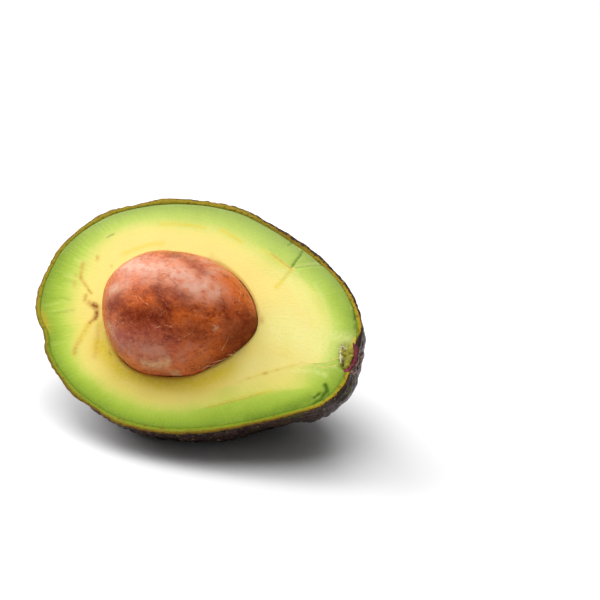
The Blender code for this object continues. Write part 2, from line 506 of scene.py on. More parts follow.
def colour_steps(value, steps):
    """A colour ramp through (position, colour) steps."""
    node = add_node(value.id_data, "ShaderNodeValToRGB", Fac=value)
    points = node.color_ramp.elements
    while len(points) < len(steps):
        points.new(0.5)
    for point, (position, colour) in zip(points, steps):
        point.position = position
        point.color = (*colour, 1)
    return node.outputs["Color"]


def roughness_between(mask, low, high):
    return output_of(
        mask.id_data, "ShaderNodeMapRange", Value=mask, To_Min=low, To_Max=high)


def new_finish(name):
    """A material, its shader, and the cut's coordinates for it."""
    material, shader = new_material(name)
    return material, shader, cut_coordinates(material.node_tree)


def finish(shader, colour, roughness, specular, height, bump):
    """Give the shader its colour and gloss, and a bump of so many millimetres."""
    normal = output_of(
        shader.id_data, "ShaderNodeBump", Height=height, Distance=bump * MM, Strength=1.0)
    fill(shader, Base_Color=colour, Roughness=roughness, Specular_IOR_Level=specular,
         Normal=normal)


print("groups:", [group.name for group in bpy.data.node_groups])

# %% [markdown]
# ## Peel: the finish
# A ripe fruit of this kind has a thick dark peel, purple-brown to nearly black, with a satin
# shine on the tops of the pebbles. Green shows through in the valleys between them and in
# small corky flecks. Where the knife cut it, the peel is a narrow olive-gold band with a thin
# dark line outside. The mesh carries two numbers for this: how high a point lies on its
# pebble, and how deep it lies in the cut edge.

# %% Peel materials
RIND = 1.55
SCAR_MIDDLE = (54.5, 0.8, 0.0)

peel_material, shader, where = new_finish("peel")
green = times(ramp(attribute(where, "rise"), 0.45, 0.05), clouds(where, 0.06, 0.48, 0.72))
to_stem = vectors("DISTANCE", where, "Value", _1=STEM)
tone = mix(clouds(where, 0.16, 0.35, 0.65), (0.020, 0.009, 0.008), (0.052, 0.021, 0.015))
tone = lay_over(tone, [
    (green, 1.0, (0.105, 0.115, 0.010)),
    (specks(where, 0.75, 0.28, 0.22), 1.0, (0.240, 0.200, 0.045)),
    (times(ramp(to_stem, 7.5, 3.0), clouds(where, 0.7, 0.40, 0.60)), 0.8,
     (0.080, 0.014, 0.018)),
])
rough = roughness_between(clouds(where, 0.9, 0.3, 0.7), 0.18, 0.38)
finish(shader, tone, rough, 0.17, plus(grains(where, 0.9), grains(where, 4.0, 0.25)), 0.50)

rind_material, shader, where = new_finish("peel_cut_edge")
x, y = sides_of(where)
bottom = ramp(y, -5.0, -18.0)
near_stem = ramp(x, 25.0, 48.0)
upper_right = times(ramp(x, 5.0, 25.0), ramp(y, 8.0, 18.0))
depth = plus(attribute(where, "depth"), minus(grains(where, 0.8, 2.0), 1.0))
depth = minus(depth, times(upper_right, 0.45))
depth = times(depth, plus(times(maths("MAXIMUM", bottom, near_stem), 0.60), 1.0))
middle = times(ramp(depth, 0.3, 0.6), ramp(depth, 1.6, 1.3))
lower_band = times(times(bottom, ramp(x, 50.0, 42.0)), ramp(depth, 1.5, 1.1))
to_scar = vectors("DISTANCE", where, "Value", _1=SCAR_MIDDLE)
slanted = plus(to_scar, times(depth, 1.3))
band = colour_steps(maths("DIVIDE", depth, RIND), [
    (0.00, (0.035, 0.020, 0.010)),
    (0.10, (0.110, 0.065, 0.010)),
    (0.22, (0.270, 0.175, 0.012)),
    (0.45, (0.360, 0.280, 0.016)),
    (0.70, (0.400, 0.340, 0.022)),
    (0.88, (0.300, 0.320, 0.018)),
    (1.00, (0.210, 0.310, 0.012)),
])
band = lay_over(band, [
    (times(near_stem, middle), 0.80, (0.500, 0.310, 0.014)),
    (clouds(where, 0.8, 0.50, 0.66), 0.75, (0.230, 0.120, 0.010)),
    (lower_band, 0.60, (0.155, 0.085, 0.006)),
    (specks(where, 0.9, 0.34, 0.30), 0.80, (0.070, 0.045, 0.012)),
    (ramp(slanted, 7.2, 5.6), 1.0, (0.032, 0.012, 0.010)),
])
finish(shader, band, 0.5, 0.08, grains(where, 2.5), 0.25)

# %% [markdown]
# ## Peel: the shape
# Pebbles could be painted on as bump, but then the rim of the cut would stay a smooth line,
# and on the real fruit it is wavy. So they are real relief. A Voronoi pattern splits space
# into cells, each cell is a pebble, and the distance to the nearest border makes its dome.
# Long slow swells lie under them, and fine creases run in towards the stem.

# %% Peel relief
PEBBLE = 3.7
PEBBLE_HEIGHT = 0.65
PEBBLE_BORDER = 0.55
PEBBLE_SLOPE = 0.35
SMALL_PEBBLE = 1.6
SMALL_HEIGHT = 0.10
SWELL = 11.0
SWELL_HEIGHT = 0.75
WARP = 6.5
WARP_AMOUNT = 0.28
WARP_OFFSETS = (Vector((0, 0, 0)), Vector((31.4, 0, 0)), Vector((0, 47.1, 0)))
SMOOTH_NEAR_STEM = (5.0, 20.0)
CREASE_COUNT = 17
CREASE_HEIGHT = 0.30
CREASE_WANDER = 4
CREASE_LENGTH = 7
CREASE_DISTANCE = 9
CREASE_REACH = 5
RAISE = 0.20
RIM_CALM = 0.45
RIM_CALM_DEPTH = 3


def smooth_step(value):
    value = min(max(value, 0.0), 1.0)
    return value * value * (3 - 2 * value)


def peel_relief(point):
    """How far the peel is raised at a point, and how high that is on its pebble."""
    stray = Vector([noise.noise(point / WARP + offset) for offset in WARP_OFFSETS])
    spread = noise.voronoi(point / PEBBLE + WARP_AMOUNT * stray)[0]
    dome = smooth_step((spread[1] - spread[0]) / PEBBLE_BORDER)
    dome *= 1 - PEBBLE_SLOPE * min(spread[0], 1.0)
    calm = RIM_CALM + (1 - RIM_CALM) * smooth_step(-point.z / RIM_CALM_DEPTH)
    small = noise.voronoi(point / SMALL_PEBBLE + stray)[0]
    small_dome = smooth_step((small[1] - small[0]) / PEBBLE_BORDER)
    to_stem = point - Vector(STEM)
    distance = to_stem.length
    start, end = SMOOTH_NEAR_STEM
    away = smooth_step((distance - start) / (end - start))
    turn = math.atan2(to_stem.z, to_stem.y)
    wander = CREASE_WANDER * noise.noise(point / CREASE_LENGTH)
    crease = math.sin(CREASE_COUNT * turn + wander)
    crease *= math.exp(-(((distance - CREASE_DISTANCE) / CREASE_REACH) ** 2))
    lift = away * (
        calm * PEBBLE_HEIGHT * (dome - 0.5)
        + calm * SMALL_HEIGHT * (small_dome - 0.5)
        + SWELL_HEIGHT * noise.noise(point / SWELL)
        + RAISE
    )
    return lift + CREASE_HEIGHT * crease, dome

# %% Peel mesh
PEEL_SEGMENTS = 144
LINING_SEGMENTS = 72
EDGE_ROUND = 0.18
TUCK = 0.35
TUCK_REACH = 1.6

directions, faces, rim = ball(PEEL_SEGMENTS, lower_half=True)
outside = skin_points(directions, 0.0)
relief = np.array([peel_relief(Vector(point)) for point in outside])
tuck = np.clip(-outside[:, 2:] / TUCK_REACH, 0, 1)
outside = outside + directions * (relief[:, :1] - TUCK * tuck * tuck * (3 - 2 * tuck))
outside[rim, 2] = -EDGE_ROUND
rim_angle = np.arctan2(directions[rim, 1], directions[rim, 0])
cut_rim = outside[rim] - directions[rim] * EDGE_ROUND
cut_rim[:, 2] = 0
lining_directions, lining_faces, lining_rim = ball(LINING_SEGMENTS, lower_half=True)
lining = skin_points(lining_directions, RIND)

first_cut = len(outside)
first_lining = first_cut + len(cut_rim)
ring = list(range(first_cut, first_lining))
inner_ring = [first_lining + i for i in lining_rim]
inner_angle = np.arctan2(
    lining_directions[lining_rim, 1], lining_directions[lining_rim, 0])
edge_faces = [[rim[i - 1], rim[i], ring[i], ring[i - 1]] for i in range(len(rim))]
cut_faces = edge_faces + zip_rings(ring, rim_angle, inner_ring, inner_angle)
lining_faces = [[first_lining + i for i in face] for face in lining_faces]
points = np.vstack([
    to_model(outside, 0.0),
    to_model(cut_rim, 0.0),
    to_model(lining, RIND),
])
counts = (len(outside), len(cut_rim), len(lining))
peel = make_piece(
    "peel",
    points,
    faces + cut_faces + lining_faces,
    [peel_material, rind_material],
    [0] * len(faces) + [1] * len(cut_faces) + [0] * len(lining_faces),
    {
        "depth": np.repeat((0.0, EDGE_ROUND, RIND), counts),
        "rise": np.concatenate([relief[:, 1], np.ones(counts[1] + counts[2])]),
    },
)
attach(peel, "root")
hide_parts("skin")

# %% [markdown]
# ## Flesh: the finish
# Right under the peel the flesh is vivid green, and over six to ten millimetres it turns
# yellow-green and then a pale buttery yellow round the seed. The mesh carries the distance
# from the peel as a share of that band's width, so a colour ramp can follow the outline. It
# also carries five kinds of mark, and a cloudy noise breaks up their colours. Some marks are
# painted light and shade: golden strokes beside the seed are its painted shadow, and broad
# pale strokes are painted light. A pale layer also makes the face lighter towards the top, as
# painted light. Light sinks into the flesh, so the shader scatters some of it under the
# surface.

# %% Flesh material
FIBRE_DRAW = 38.0
FIBRE_SHRINK = (0.12, 0.12, 0.12)
BANDS_IN_RAMP = 2.5


def ragged(where, name, scale, high, detail, least):
    """A stored mark that a cloudy noise breaks up, down to its least share."""
    cloud = clouds(where, scale, 0.30, high, Detail=detail)
    return times(attribute(where, name), plus(times(cloud, 1 - least), least))


flesh_material, shader, where = new_finish("flesh")
x, y = sides_of(where)
spread = vectors("SCALE", vectors("NORMALIZE", where), Scale=FIBRE_DRAW)
fibres = grains(vectors("MULTIPLY_ADD", where, _1=FIBRE_SHRINK, _2=spread), 1.2)
drift = minus(grains(where, 0.22, 0.30), 0.15)
share = plus(plus(attribute(where, "band"), drift), times(minus(fibres, 0.5), 0.20))
inner_or_top = maths("MAXIMUM", ramp(share, 0.35, 1.1), ramp(y, 0.0, 28.0))
tone = colour_steps(maths("DIVIDE", share, BANDS_IN_RAMP), [
    (0.00, (0.175, 0.285, 0.009)),
    (0.04, (0.205, 0.335, 0.012)),
    (0.16, (0.310, 0.465, 0.026)),
    (0.28, (0.430, 0.580, 0.055)),
    (0.40, (0.640, 0.660, 0.115)),
    (0.52, (0.790, 0.700, 0.165)),
    (0.70, (0.860, 0.700, 0.190)),
    (1.00, (0.860, 0.690, 0.185)),
])
tone = lay_over(tone, [
    (times(ramp(fibres, 0.46, 0.70), ramp(x, -15.0, -40.0)), 0.09, (0.88, 0.90, 0.30)),
    # Painted light: the face lighter and paler towards the top.
    (times(ramp(y, -12.0, 30.0), inner_or_top), 0.16, (0.90, 0.96, 0.48)),
    (clouds(where, 2.6, 0.35, 0.65), 0.08, (0.95, 0.90, 0.30)),
])
# Stored marks: golden lines, with the seed's painted shadow beside it; pale cuts, with painted
# light and glints; orange lines; bruises; vessels.
for name, colour in (
    ("golden", (0.76, 0.60, 0.022)),
    ("pale", (0.84, 0.84, 0.34)),
    ("orange", (0.60, 0.275, 0.018)),
    ("bruise", (0.070, 0.155, 0.001)),
    ("vessel", (0.24, 0.058, 0.005)),
):
    tone = mix(ragged(where, name, 1.0, 0.60, 6.0, 0.55), tone, colour)
height = plus(grains(where, 1.6, 0.7), times(fibres, 0.5))
finish(shader, tone, 0.46, 0.16, height, 0.10)
fill(shader, Subsurface_Weight=0.25, Subsurface_Radius=(1.0, 0.8, 0.25),
     Subsurface_Scale=0.004)

# %% [markdown]
# ## Flesh: the shape
# The flesh is a bowl, so it is swept round the seed like a pot on a wheel: one profile goes
# from the bottom of the cavity up its wall, across the cut face, and down the outside to the
# bottom again. Every row of the sweep follows the egg outlines, and both ends close in a
# point. The cut face gets most of the rows, because it is all that shows. The marks are soft
# strokes along drawn lines. Some only tint the flesh, some sink into it, and a few are steps.

# %% Flesh mesh
TURNS = 720
CAVITY_ROWS = 10
FACE_ROWS = 108
OUTER_ROWS = 12
SEED_GAP = 0.12
FLESH_INSET = RIND - 0.02
BAND_WIDTH = (8.4, 8.4, 7.4, 6.6, 6.0, 6.8, 9.8, 6.4, 6.0, 5.8, 6.8, 8.6)
WAVE_HEIGHT = 0.14
WAVE_LENGTH = 9
SEED_LIP, SEED_LIP_DROP = 0.5, 0.30
RIND_LIP, RIND_LIP_DROP = 0.3, 0.05
STEP_WIDTH = 0.35


def around(angles, dip):
    """Directions at one dip below the cut face, all the way round."""
    flat = math.cos(dip) * np.stack([np.cos(angles), np.sin(angles)], axis=1)
    return np.column_stack([flat, np.full(len(angles), -math.sin(dip))])


def face_height(x, y):
    """How high the cut face of the flesh lies at a place away from its edges."""
    return WAVE_HEIGHT * noise.noise(Vector((x, y, 0)) / WAVE_LENGTH)


angles = np.linspace(-math.pi, math.pi, TURNS, endpoint=False)
level = around(angles, 0.0)
inner_edge = seed_points(level, -SEED_GAP)
outer_edge = skin_points(level, FLESH_INSET)
rows = []
for step in range(1, CAVITY_ROWS):
    dip = math.pi / 2 * (1 - step / CAVITY_ROWS)
    rows.append(seed_points(around(angles, dip), -SEED_GAP))
for step in range(FACE_ROWS + 1):
    rows.append(inner_edge + (outer_edge - inner_edge) * (step / FACE_ROWS))
for step in range(1, OUTER_ROWS):
    dip = math.pi / 2 * step / OUTER_ROWS
    rows.append(skin_points(around(angles, dip), FLESH_INSET))
flesh_faces = swept_faces(len(rows), TURNS)
grid = np.concatenate(rows)
row_of = np.repeat(np.arange(len(rows)), TURNS)
is_face = (row_of >= CAVITY_ROWS - 1) & (row_of < CAVITY_ROWS + FACE_ROWS)
from_seed = np.linalg.norm(grid - np.tile(inner_edge, (len(rows), 1)), axis=1)
from_rind = np.linalg.norm(grid - np.tile(outer_edge, (len(rows), 1)), axis=1)
band = from_rind / np.tile(round_the_clock(BAND_WIDTH, angles), len(rows))

lip = np.exp(-((from_seed / SEED_LIP) ** 2)) * SEED_LIP_DROP
lip += np.exp(-((from_rind / RIND_LIP) ** 2)) * RIND_LIP_DROP
wave = np.array([face_height(x, y) for x, y in grid[:, :2]])
grid[:, 2] += np.where(is_face, wave - lip, 0)
down = np.array([[0.0, 0.0, -1.0]])
grid = np.vstack([grid, seed_points(down, -SEED_GAP), skin_points(down, FLESH_INSET)])


def from_line(places, line):
    """How far each place lies from a line of (x, y), and on which side of it."""
    line = np.array(line, float)
    nearest = np.full(len(places), np.inf)
    side = np.zeros(len(places))
    for start, end in zip(line[:-1], line[1:]):
        step, offset = end - start, places - start
        share = np.clip(offset @ step / (step @ step), 0, 1)
        away = np.linalg.norm(offset - share[:, None] * step, axis=1)
        turn = np.sign(step[0] * offset[:, 1] - step[1] * offset[:, 0])
        side = np.where(away < nearest, turn, side)
        nearest = np.minimum(nearest, away)
    return nearest, side


def stroke(places, line, width, strength):
    """How strongly a soft stroke along a line marks each place."""
    nearest, _ = from_line(places, line)
    return strength * np.exp(-((nearest / width) ** 2))


def step_across(places, line, reach, height):
    """A step that goes up from the right to the left of a line and fades away from it."""
    nearest, side = from_line(places, line)
    sharp = np.tanh(side * nearest / STEP_WIDTH)
    return height * sharp * np.exp(-((nearest / reach) ** 2))


def stain(places, strokes):
    """The strongest of several strokes at each place."""
    return np.max([stroke(places, *each) for each in strokes], axis=0)

# %% Marks on the cut face
LOWER_ARC = ((17.6, -24.0), (22.8, -21.3), (26.6, -19.4), (30.3, -17.4))
MIDDLE_ARC = ((26.0, -13.7), (30.7, -11.0), (33.2, -9.6), (37.6, -7.3))
UPPER_ARC = ((28.8, 20.1), (24.9, 21.9), (20.5, 23.9))
ORANGE_LINE = ((20.5, 23.9), (22.5, 23.0), (24.9, 21.9), (27.1, 20.9), (28.8, 20.1))
STEPPED_CUT = ((37.0, 23.3), (34.4, 22.7), (31.8, 21.9), (29.1, 20.9))
ARCS = (
    ((*LOWER_ARC, (34.0, -15.7), (39.7, -14.0)), 3.5, 0.12),
    (((43.9, -3.6), (46.0, 0.8), (45.5, 5.2), (43.1, 10.8)), 2.5, 0.03),
    (((36.2, 15.6), (32.2, 18.0), *UPPER_ARC, (16.5, 25.1)), 2.2, 0.07),
    (((21.0, -16.6), *MIDDLE_ARC, (42.0, -5.8)), 4.5, 0.36),
)
LEDGES = (
    (((23.5, -15.3), *MIDDLE_ARC), 1.8, 0.04),
    (STEPPED_CUT, 1.6, 0.10),
    (UPPER_ARC, 1.4, 0.08),
    (LOWER_ARC, 1.6, 0.07),
)
VESSELS = (
    (((-27.6, -2.0), (-27.2, -2.2), (-26.6, -2.3)), 0.75, 1.0),
    (((-26.9, -1.8), (-26.8, -2.8)), 0.62, 0.80),
    (((-25.9, -3.8), (-25.4, -4.8), (-25.5, -5.8)), 0.62, 0.95),
    (((-25.5, -5.7), (-26.7, -7.5)), 0.36, 0.40),
    (((-34.6, 5.4), (-34.2, 4.8)), 0.45, 0.20),
    (((-31.0, 2.3), (-30.4, 1.9), (-29.5, 1.3)), 0.26, 0.25),
    (((-31.0, 0.0), (-30.8, -0.8)), 0.42, 0.20),
    (((-29.0, -1.7), (-28.2, -2.0)), 0.30, 0.30),
    (((-28.4, -15.8), (-28.2, -17.0)), 0.50, 0.20),
    (((-17.6, -15.0), (-17.1, -15.3)), 0.45, 0.25),
    (((-31.7, 12.6), (-31.5, 12.2)), 0.35, 0.15),
    (((30.1, -11.3), (30.6, -11.1)), 0.40, 0.14),
    (((24.2, 4.0), (24.4, 3.6)), 0.45, 0.18),
)
BRUISES = (
    (((48.5, -10.9), (49.6, -12.4), (48.8, -14.2)), 0.60, 1.4),
    (((49.6, -12.4), (48.4, -15.6)), 0.50, 1.3),
    (((47.7, -13.6), (46.5, -15.1)), 0.45, 1.2),
    (((47.9, -15.4), (47.0, -16.7)), 0.40, 1.0),
    (((49.8, -12.8), (50.9, -13.9)), 0.40, 0.9),
    (((50.5, 11.2), (51.0, 9.7)), 0.55, 1.0),
    (((49.9, 12.0), (50.3, 11.2)), 0.35, 0.8),
    (((51.6, 8.0), (51.8, 7.0)), 0.35, 0.6),
    (((29.6, 26.0), (29.2, 24.3), (28.5, 22.8), (28.0, 21.2)), 0.40, 0.80),
    (((28.0, 21.2), (27.7, 19.1), (26.6, 16.7)), 0.50, 0.14),
    (((25.8, 28.5), (25.3, 27.7), (24.8, 27.2)), 0.32, 0.55),
    (STEPPED_CUT, 0.24, 0.55),
    (((-30.7, 19.0), (-30.0, 19.7), (-29.1, 20.3)), 0.32, 0.45),
    (((-39.1, -7.2), (-35.9, -6.0), (-33.2, -4.9)), 0.45, 0.20),
    (((-39.5, 3.5), (-36.0, 3.2)), 0.50, 0.15),
    (((3.0, 19.6), (8.5, 17.2), (14.5, 13.8), (19.0, 9.8), (22.3, 5.6)), 0.8, 0.16),
    (((-17.8, -14.2), (-16.6, -15.8)), 0.5, 0.15),
    (((30.0, -25.5), (36.0, -22.5), (42.0, -18.5), (45.5, -15.5)), 1.6, 0.35),
    (((-41.5, -3.0), (-38.0, -2.0), (-35.5, -2.2)), 0.50, 0.18),
)
# Golden lines of the flesh, and painted shade: the broad strokes round the lower and right side
# of the seed stand for the seed's shadow on the flesh.
GOLDEN = (
    (((-43.5, -8.4), (-41.0, -10.7), (-39.0, -12.8)), 1.4, 0.45),
    ((*LOWER_ARC, (34.0, -15.7)), 0.5, 0.45),
    (((23.5, -15.3), (26.0, -13.7), (28.5, -12.1), (30.7, -11.0),
      (33.2, -9.6), (35.8, -8.4), (37.6, -7.3)), 0.50, 0.42),
    (((52.5, 2.0), (52.7, 3.4), (53.2, 4.5), (53.3, 6.0)), 0.50, 1.0),
    (((28.7, 4.0), (32.5, 1.8), (34.2, -0.8), (34.5, -4.2)), 1.8, 0.28),
    (((28.0, 20.0), (26.6, 16.7), (25.4, 14.4)), 0.7, 0.75),
    (((17.7, 24.6), (20.8, 23.3), (23.7, 21.8), (27.1, 20.3)), 0.5, 0.45),
    (((30.0, 17.5), (35.0, 12.0), (40.0, 5.0)), 0.8, 0.15),
    (((-10.0, -23.3), (-1.3, -24.0), (7.3, -21.6)), 2.4, 0.28),
    (((3.4, 28.1), (6.3, 27.1), (10.4, 25.6)), 0.7, 0.5),
    (((-15.7, 26.1), (-11.5, 27.1), (-6.2, 27.7), (-2.0, 27.6)), 0.6, 0.5),
    (((-23.9, 15.0), (-20.8, 17.1), (-17.1, 19.3), (-13.0, 20.5)), 0.8, 0.45),
    # Painted shadow of the seed on the flesh, below it and on its right.
    (((-21.0, -13.5), (-12.0, -19.5), (0.0, -20.6), (12.0, -18.0), (20.0, -12.0)), 3.2, 0.9),
    (((20.0, -12.0), (24.5, -4.0), (25.0, 2.0)), 2.0, 0.2),
    (((-27.0, -8.5), (-27.6, -12.5)), 1.2, 0.5),
    (((-24.0, -7.0), (-21.0, -10.0), (-18.4, -13.5)), 1.2, 0.45),
)
# Pale cuts and fibres of the flesh, and painted light: the broad strokes light up the right and
# top of the face, and the tiny strokes beside the bruises are painted glints.
PALE = (
    (((30.0, 3.0), (42.0, 0.0)), 7.0, 0.65),
    (((45.0, 3.5), (50.5, 3.2)), 2.4, 0.55),
    (((23.5, -12.5), (28.5, -8.0), (34.5, -7.0)), 4.0, 0.35),
    (((28.2, 18.0), (32.6, 14.3), (37.3, 9.1), (40.5, 5.0)), 2.6, 0.42),
    (((36.0, 17.5), (41.0, 12.5), (44.5, 6.0)), 0.7, 0.20),
    (((32.0, 17.0), (37.5, 11.5), (41.5, 5.0)), 0.6, 0.20),
    (((29.3, 21.7), (32.0, 22.7), (34.6, 23.5), (36.6, 23.9)), 0.50, 0.22),
    (((22.4, 18.3), (24.7, 18.9), (26.2, 19.8)), 0.40, 0.35),
    (((37.0, -1.5), (41.7, -0.2), (45.8, 0.3), (49.2, 0.4)), 0.40, 0.40),
    (((35.7, -4.0), (39.2, -3.0), (43.3, -2.4)), 0.45, 0.35),
    (((37.5, -4.4), (41.4, -4.4), (44.0, -4.5), (47.0, -4.0)), 0.40, 0.40),
    (((43.8, -6.7), (47.7, -5.7), (50.0, -5.1)), 0.40, 0.40),
    (((25.1, -2.1), (28.7, -0.9)), 0.30, 0.40),
    (((26.2, -2.9), (30.5, -1.6)), 0.28, 0.40),
    (((26.8, -3.9), (30.3, -2.7)), 0.28, 0.35),
    (((26.0, 0.2), (29.6, 1.0)), 0.28, 0.30),
    (((38.4, -8.6), (43.8, -7.4), (47.6, -8.0)), 0.9, 0.45),
    (((45.8, -14.0), (46.9, -14.6)), 0.20, 0.25),
    (((47.0, -14.6), (48.2, -15.0)), 0.20, 0.30),
    (((50.0, 14.2), (49.0, 12.6)), 0.30, 0.30),
    (((-39.3, -6.6), (-36.7, -5.3), (-34.6, -4.6)), 0.34, 0.16),
    (((-41.0, -4.6), (-38.4, -3.6)), 0.34, 0.18),
    (((-40.0, 5.0), (-35.5, 5.0)), 0.40, 0.18),
    (((-38.6, 10.6), (-35.0, 10.0)), 0.40, 0.25),
    (((-22.2, -6.5), (-21.4, -8.6)), 0.45, 0.5),
)
ORANGE = (
    (ORANGE_LINE, 0.26, 0.70),
    (((-35.4, 9.6), (-35.2, 7.8)), 0.75, 0.55),
    (((-35.2, 7.8), (-34.9, 6.2), (-34.3, 4.9)), 0.60, 0.60),
    (((-36.3, 5.6), (-35.0, 5.4)), 0.60, 0.35),
    (((-34.3, 4.9), (-33.0, 4.0), (-31.6, 2.9), (-30.4, 1.9), (-29.5, 1.3)), 0.50, 0.60),
    (((-36.0, 3.6), (-35.4, 2.4)), 0.80, 0.30),
    (((-31.0, 0.2), (-30.7, -1.2)), 0.75, 0.60),
    (((-29.2, -1.6), (-27.6, -2.2), (-26.0, -2.6), (-25.6, -5.7)), 0.90, 0.65),
    (((-25.6, -5.7), (-26.7, -7.5)), 0.75, 0.65),
    (((-26.7, -7.5), (-27.4, -10.0), (-28.0, -12.5)), 0.70, 0.30),
    (((-28.0, -13.5), (-28.4, -15.5), (-28.1, -17.4)), 0.90, 0.50),
    (((-23.7, -8.0), (-22.7, -11.9), (-21.6, -16.8)), 0.90, 0.32),
    (((-31.7, 12.8), (-31.4, 11.7)), 0.60, 0.45),
    (((-26.4, 10.8), (-26.1, 10.5)), 0.45, 0.40),
    (((24.0, 4.4), (24.5, 3.3)), 0.85, 0.40),
    (((25.9, -13.6), (26.3, -13.5)), 0.40, 0.25),
    (((30.1, -11.3), (30.6, -11.1)), 0.50, 0.40),
    (((33.2, -9.6), (33.6, -9.4)), 0.40, 0.25),
    (((-43.5, -8.6), (-41.0, -11.4)), 1.6, 0.85),
    (((52.5, 2.0), (52.7, 3.4), (53.2, 4.5)), 0.40, 0.60),
)
MARKS = {
    "vessel": VESSELS, "bruise": BRUISES, "golden": GOLDEN, "pale": PALE, "orange": ORANGE
}
NICK_DEPTH = 0.20
PLUG_BED = (((51.0, 0.6), (52.2, -3.6)), 1.5, 0.9)

on_plane = grid[:, :2]
marks = {name: stain(on_plane, strokes) for name, strokes in MARKS.items()}
hollow = NICK_DEPTH * marks["bruise"] + stroke(on_plane, *PLUG_BED)
hollow -= sum(step_across(on_plane, *ledge) for ledge in LEDGES)
grid[:, 2] -= np.where(np.append(is_face, (False, False)), hollow, 0)
print("marks on the cut face:", {name: len(strokes) for name, strokes in MARKS.items()})

# %% Flesh piece
WELL_INSIDE = 9.0
band = np.append(band, (WELL_INSIDE, WELL_INSIDE))
band += sum(step_across(on_plane, *arc) for arc in ARCS)
flesh = make_piece(
    "cut_flesh", to_model(grid, RIND), flesh_faces, [flesh_material], None,
    {"band": band, **marks})
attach(flesh, "root")
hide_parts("flesh")

# %% [markdown]
# ## Seed
# The seed is a blunt egg with a thin papery coat, orange-brown and mottled with purple-brown,
# with hairline scratches and a soft pinkish bloom and sheen. The shape is the egg from above
# with shallow dents. Broad patches are strokes stored on the mesh, as on the flesh. Some of
# them are painted light and shade: a painted highlight on the upper left, painted light
# thrown back from the flesh low down, and painted shade across the middle and at the lower
# right edge. The material adds a fibrous noise drawn out along the seed, fine speckle, and
# hairlines where a noise crosses one value. The longer scratches are thin cords, made with
# the strands further down.

# %% Seed material
HAIR_HALF_WIDTH = (0.007, 0.001)

seed_material, shader, where = new_finish("seed_coat")
along = cut_coordinates(shader.id_data, 1.8)
fibrous = output_of(
    shader.id_data, "ShaderNodeTexNoise", Vector=along, Scale=0.65, Detail=9.0,
    Roughness=0.68, Distortion=0.9)
hair_cloud = output_of(
    shader.id_data, "ShaderNodeTexNoise", Vector=along, Scale=0.30, Detail=1.5,
    Distortion=2.2)


def coat_mark(name, scale):
    return ragged(where, name, scale, 0.62, 8.0, 0.35)


def hairs(middle):
    """Thin broken lines where the noise crosses one value, fainter under the bloom and painted
    sheen.
    """
    near = ramp(maths("ABSOLUTE", minus(hair_cloud, middle)), *HAIR_HALF_WIDTH)
    return times(times(near, clouds(where, 0.20, 0.48, 0.60, Detail=3.0)), not_rosy)


# Painted highlight and painted reflected light, laid over the coat's own pinkish bloom.
bloom_and_sheen = times(coat_mark("bloom_and_sheen", 0.45), 1.1)
not_rosy = minus(1.0, bloom_and_sheen)
tone = mix(clouds(where, 0.11, 0.38, 0.62), (0.62, 0.145, 0.040), (0.49, 0.090, 0.018))
tone = lay_over(tone, [
    # Orange patches, with painted bounce light from the flesh on the lower side of the seed.
    (coat_mark("orange_and_bounce_light", 0.50), 0.90, (0.64, 0.108, 0.002)),
    # Pinkish bloom, painted lighter as a highlight on the upper left and as reflected light low
    # down.
    (bloom_and_sheen, 1.0, (0.66, 0.345, 0.245)),
    (coat_mark("plum", 0.60), 0.90, (0.36, 0.058, 0.044)),
    # Dark mottling, with painted shade across the middle and at the lower right edge and tip.
    (coat_mark("dark", 0.50), 0.70, (0.15, 0.010, 0.001)),
    (times(ramp(fibrous, 0.50, 0.64), not_rosy), 0.70, (0.20, 0.026, 0.007)),
    (ramp(fibrous, 0.47, 0.35), 0.36, (0.72, 0.230, 0.085)),
    (clouds(where, 2.2, 0.50, 0.64), 0.16, (0.74, 0.300, 0.150)),
    # The same dark strokes again, darker still: mottling and painted shade.
    (coat_mark("dark", 0.80), 0.80, (0.135, 0.006, 0.0005)),
    (hairs(0.50), 0.45, (0.78, 0.420, 0.260)),
    (hairs(0.42), 0.55, (0.11, 0.014, 0.006)),
    (coat_mark("paper", 1.10), 0.85, (0.70, 0.440, 0.240)),
])
rough = roughness_between(clouds(where, 0.8, 0.35, 0.65), 0.25, 0.36)
finish(shader, tone, rough, 0.10, plus(fibrous, grains(where, 3.2, 0.55)), 0.15)

# %% Marks on the seed
# Dark mottling of the coat. The belt across the middle and the strokes along the lower right
# edge and the tip are also painted shade.
DARK = (
    (((-15.4, -4.8), (-12.0, -4.6)), 2.4, 0.75),
    (((-13.5, -3.7), (-10.2, -6.1)), 2.2, 0.7),
    (((-9.8, -7.5), (-3.8, -7.3), (0.8, -6.2), (3.7, -6.4)), 2.6, 0.88),
    (((-1.1, 1.0), (1.6, -2.0), (4.1, -3.9), (3.9, -7.5)), 1.9, 0.9),
    (((2.0, 1.0), (6.0, 0.8), (8.0, 0.2)), 2.0, 0.6),
    (((22.8, 2.9), (22.8, -0.4), (21.8, -4.2), (20.1, -7.0)), 2.2, 0.85),
    (((19.5, -8.0), (15.0, -13.0)), 1.2, 0.8),
    (((17.0, 1.5), (19.2, -1.8), (20.6, -4.0)), 2.0, 0.65),
    (((6.5, -2.4), (10.0, -1.6), (13.0, -1.4)), 1.6, 0.50),
    (((5.5, -9.2), (11.0, -8.2), (13.5, -7.2)), 2.0, 0.55),
    (((21.2, -6.0), (18.6, -9.2)), 1.2, 0.7),
    (((-4.1, 14.4), (2.5, 13.0), (7.0, 10.8), (8.8, 9.8)), 1.4, 0.45),
    (((10.0, -6.0), (14.0, -4.5)), 2.0, 0.40),
    (((21.0, 1.5), (22.6, -2.2), (21.2, -5.8)), 1.6, 0.6),
)
